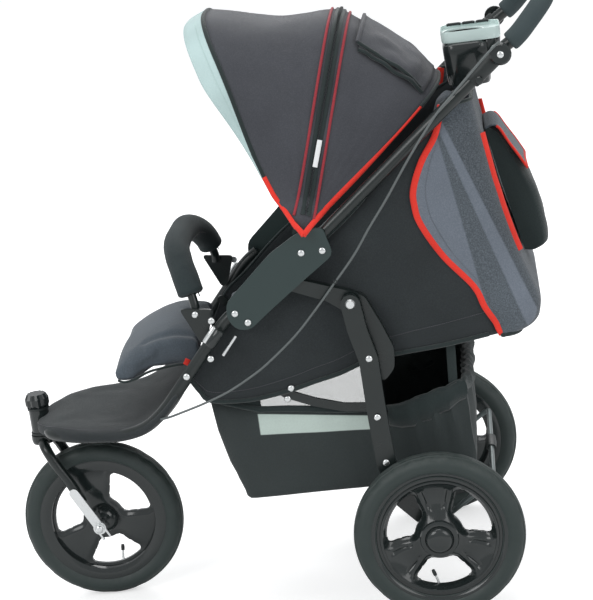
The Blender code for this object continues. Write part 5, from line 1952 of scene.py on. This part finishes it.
class STROLLER_OT_cable(PieceOperator, bpy.types.Operator):
    """Brake cable from the handle to the front tube"""

    bl_idname = "stroller.cable"
    bl_label = "Brake cable"

    route = [
        (0.4463, -0.232, 1.008), (0.42, -0.2305, 0.986), (0.3898, -0.229, 0.957), (0.356, -0.228, 0.925),
        (0.3241, -0.227, 0.893),
        (0.274, -0.2265, 0.829), (0.2249, -0.226, 0.759), (0.19, -0.226, 0.713), (0.1581, -0.226, 0.668),
        (0.119, -0.226, 0.623),
        (0.08, -0.226, 0.579), (0.0365, -0.226, 0.534), (-0.0189, -0.2255, 0.489), (-0.055, -0.225, 0.466),
        (-0.0947, -0.224, 0.445),
        (-0.14, -0.223, 0.428), (-0.1856, -0.2205, 0.414), (-0.204, -0.215, 0.4075), (-0.214, -0.211, 0.4045),
        (-0.224, -0.207, 0.402),
    ]

    def build(self, size):
        casing = hard_material("cable_casing", (0.1, 0.115, 0.115), 0.38, coat=0.2, dust=0.0)
        path = smooth_path(self.route, 5)
        made = sweep_piece("brake_cable_casing", path, size.cable / 2, casing, None, 12,
            replaces=("brake_cable",))
        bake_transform(made)
        shape = bmesh.new()
        for x, z in ((0.36, 0.929), (0.12, 0.6245)):
            profile = [(0.0024, -0.2288), (0.004, -0.2288), (0.004, -0.2245), (0.0024, -0.2245)]
            add_lathe(shape, profile, (x, 0, z), 20)
        finish_piece("cable_clips", shape, matt_plastic(), "seat_frame", 40.0)


STEPS = (
    STROLLER_OT_stage, STROLLER_OT_frame, STROLLER_OT_wheels, STROLLER_OT_fork, STROLLER_OT_handle,
    STROLLER_OT_bumper, STROLLER_OT_latches,
    STROLLER_OT_rests, STROLLER_OT_seat, STROLLER_OT_back_shell, STROLLER_OT_hood, STROLLER_OT_console,
    STROLLER_OT_basket, STROLLER_OT_cable,
)


class STROLLER_PT_pieces(bpy.types.Panel):
    """Lists the stroller's sizes, colours and pieces"""

    bl_idname = "STROLLER_PT_pieces"
    bl_label = "Stroller"
    bl_space_type = "VIEW_3D"
    bl_region_type = "UI"
    bl_category = "Stroller"

    def draw(self, context):
        for group in (context.scene.stroller_sizes, context.scene.stroller_colours):
            column = self.layout.column(align=True)
            for name in group.__annotations__:
                column.prop(group, name)
        column = self.layout.column(align=True)
        for step in STEPS:
            column.operator(step.bl_idname)


CLASSES = (StrollerSizes, StrollerColours, *STEPS, STROLLER_PT_pieces)


def register():
    for item in CLASSES:
        bpy.utils.register_class(item)
    bpy.types.Scene.stroller_sizes = PointerProperty(type=StrollerSizes)
    bpy.types.Scene.stroller_colours = PointerProperty(type=StrollerColours)


def unregister():
    del bpy.types.Scene.stroller_colours
    del bpy.types.Scene.stroller_sizes
    for item in reversed(CLASSES):
        bpy.utils.unregister_class(item)


def main():
    register()
    for step in STEPS:
        area, name = step.bl_idname.split(".")
        getattr(getattr(bpy.ops, area), name)()


if __name__ == "__main__":
    main()
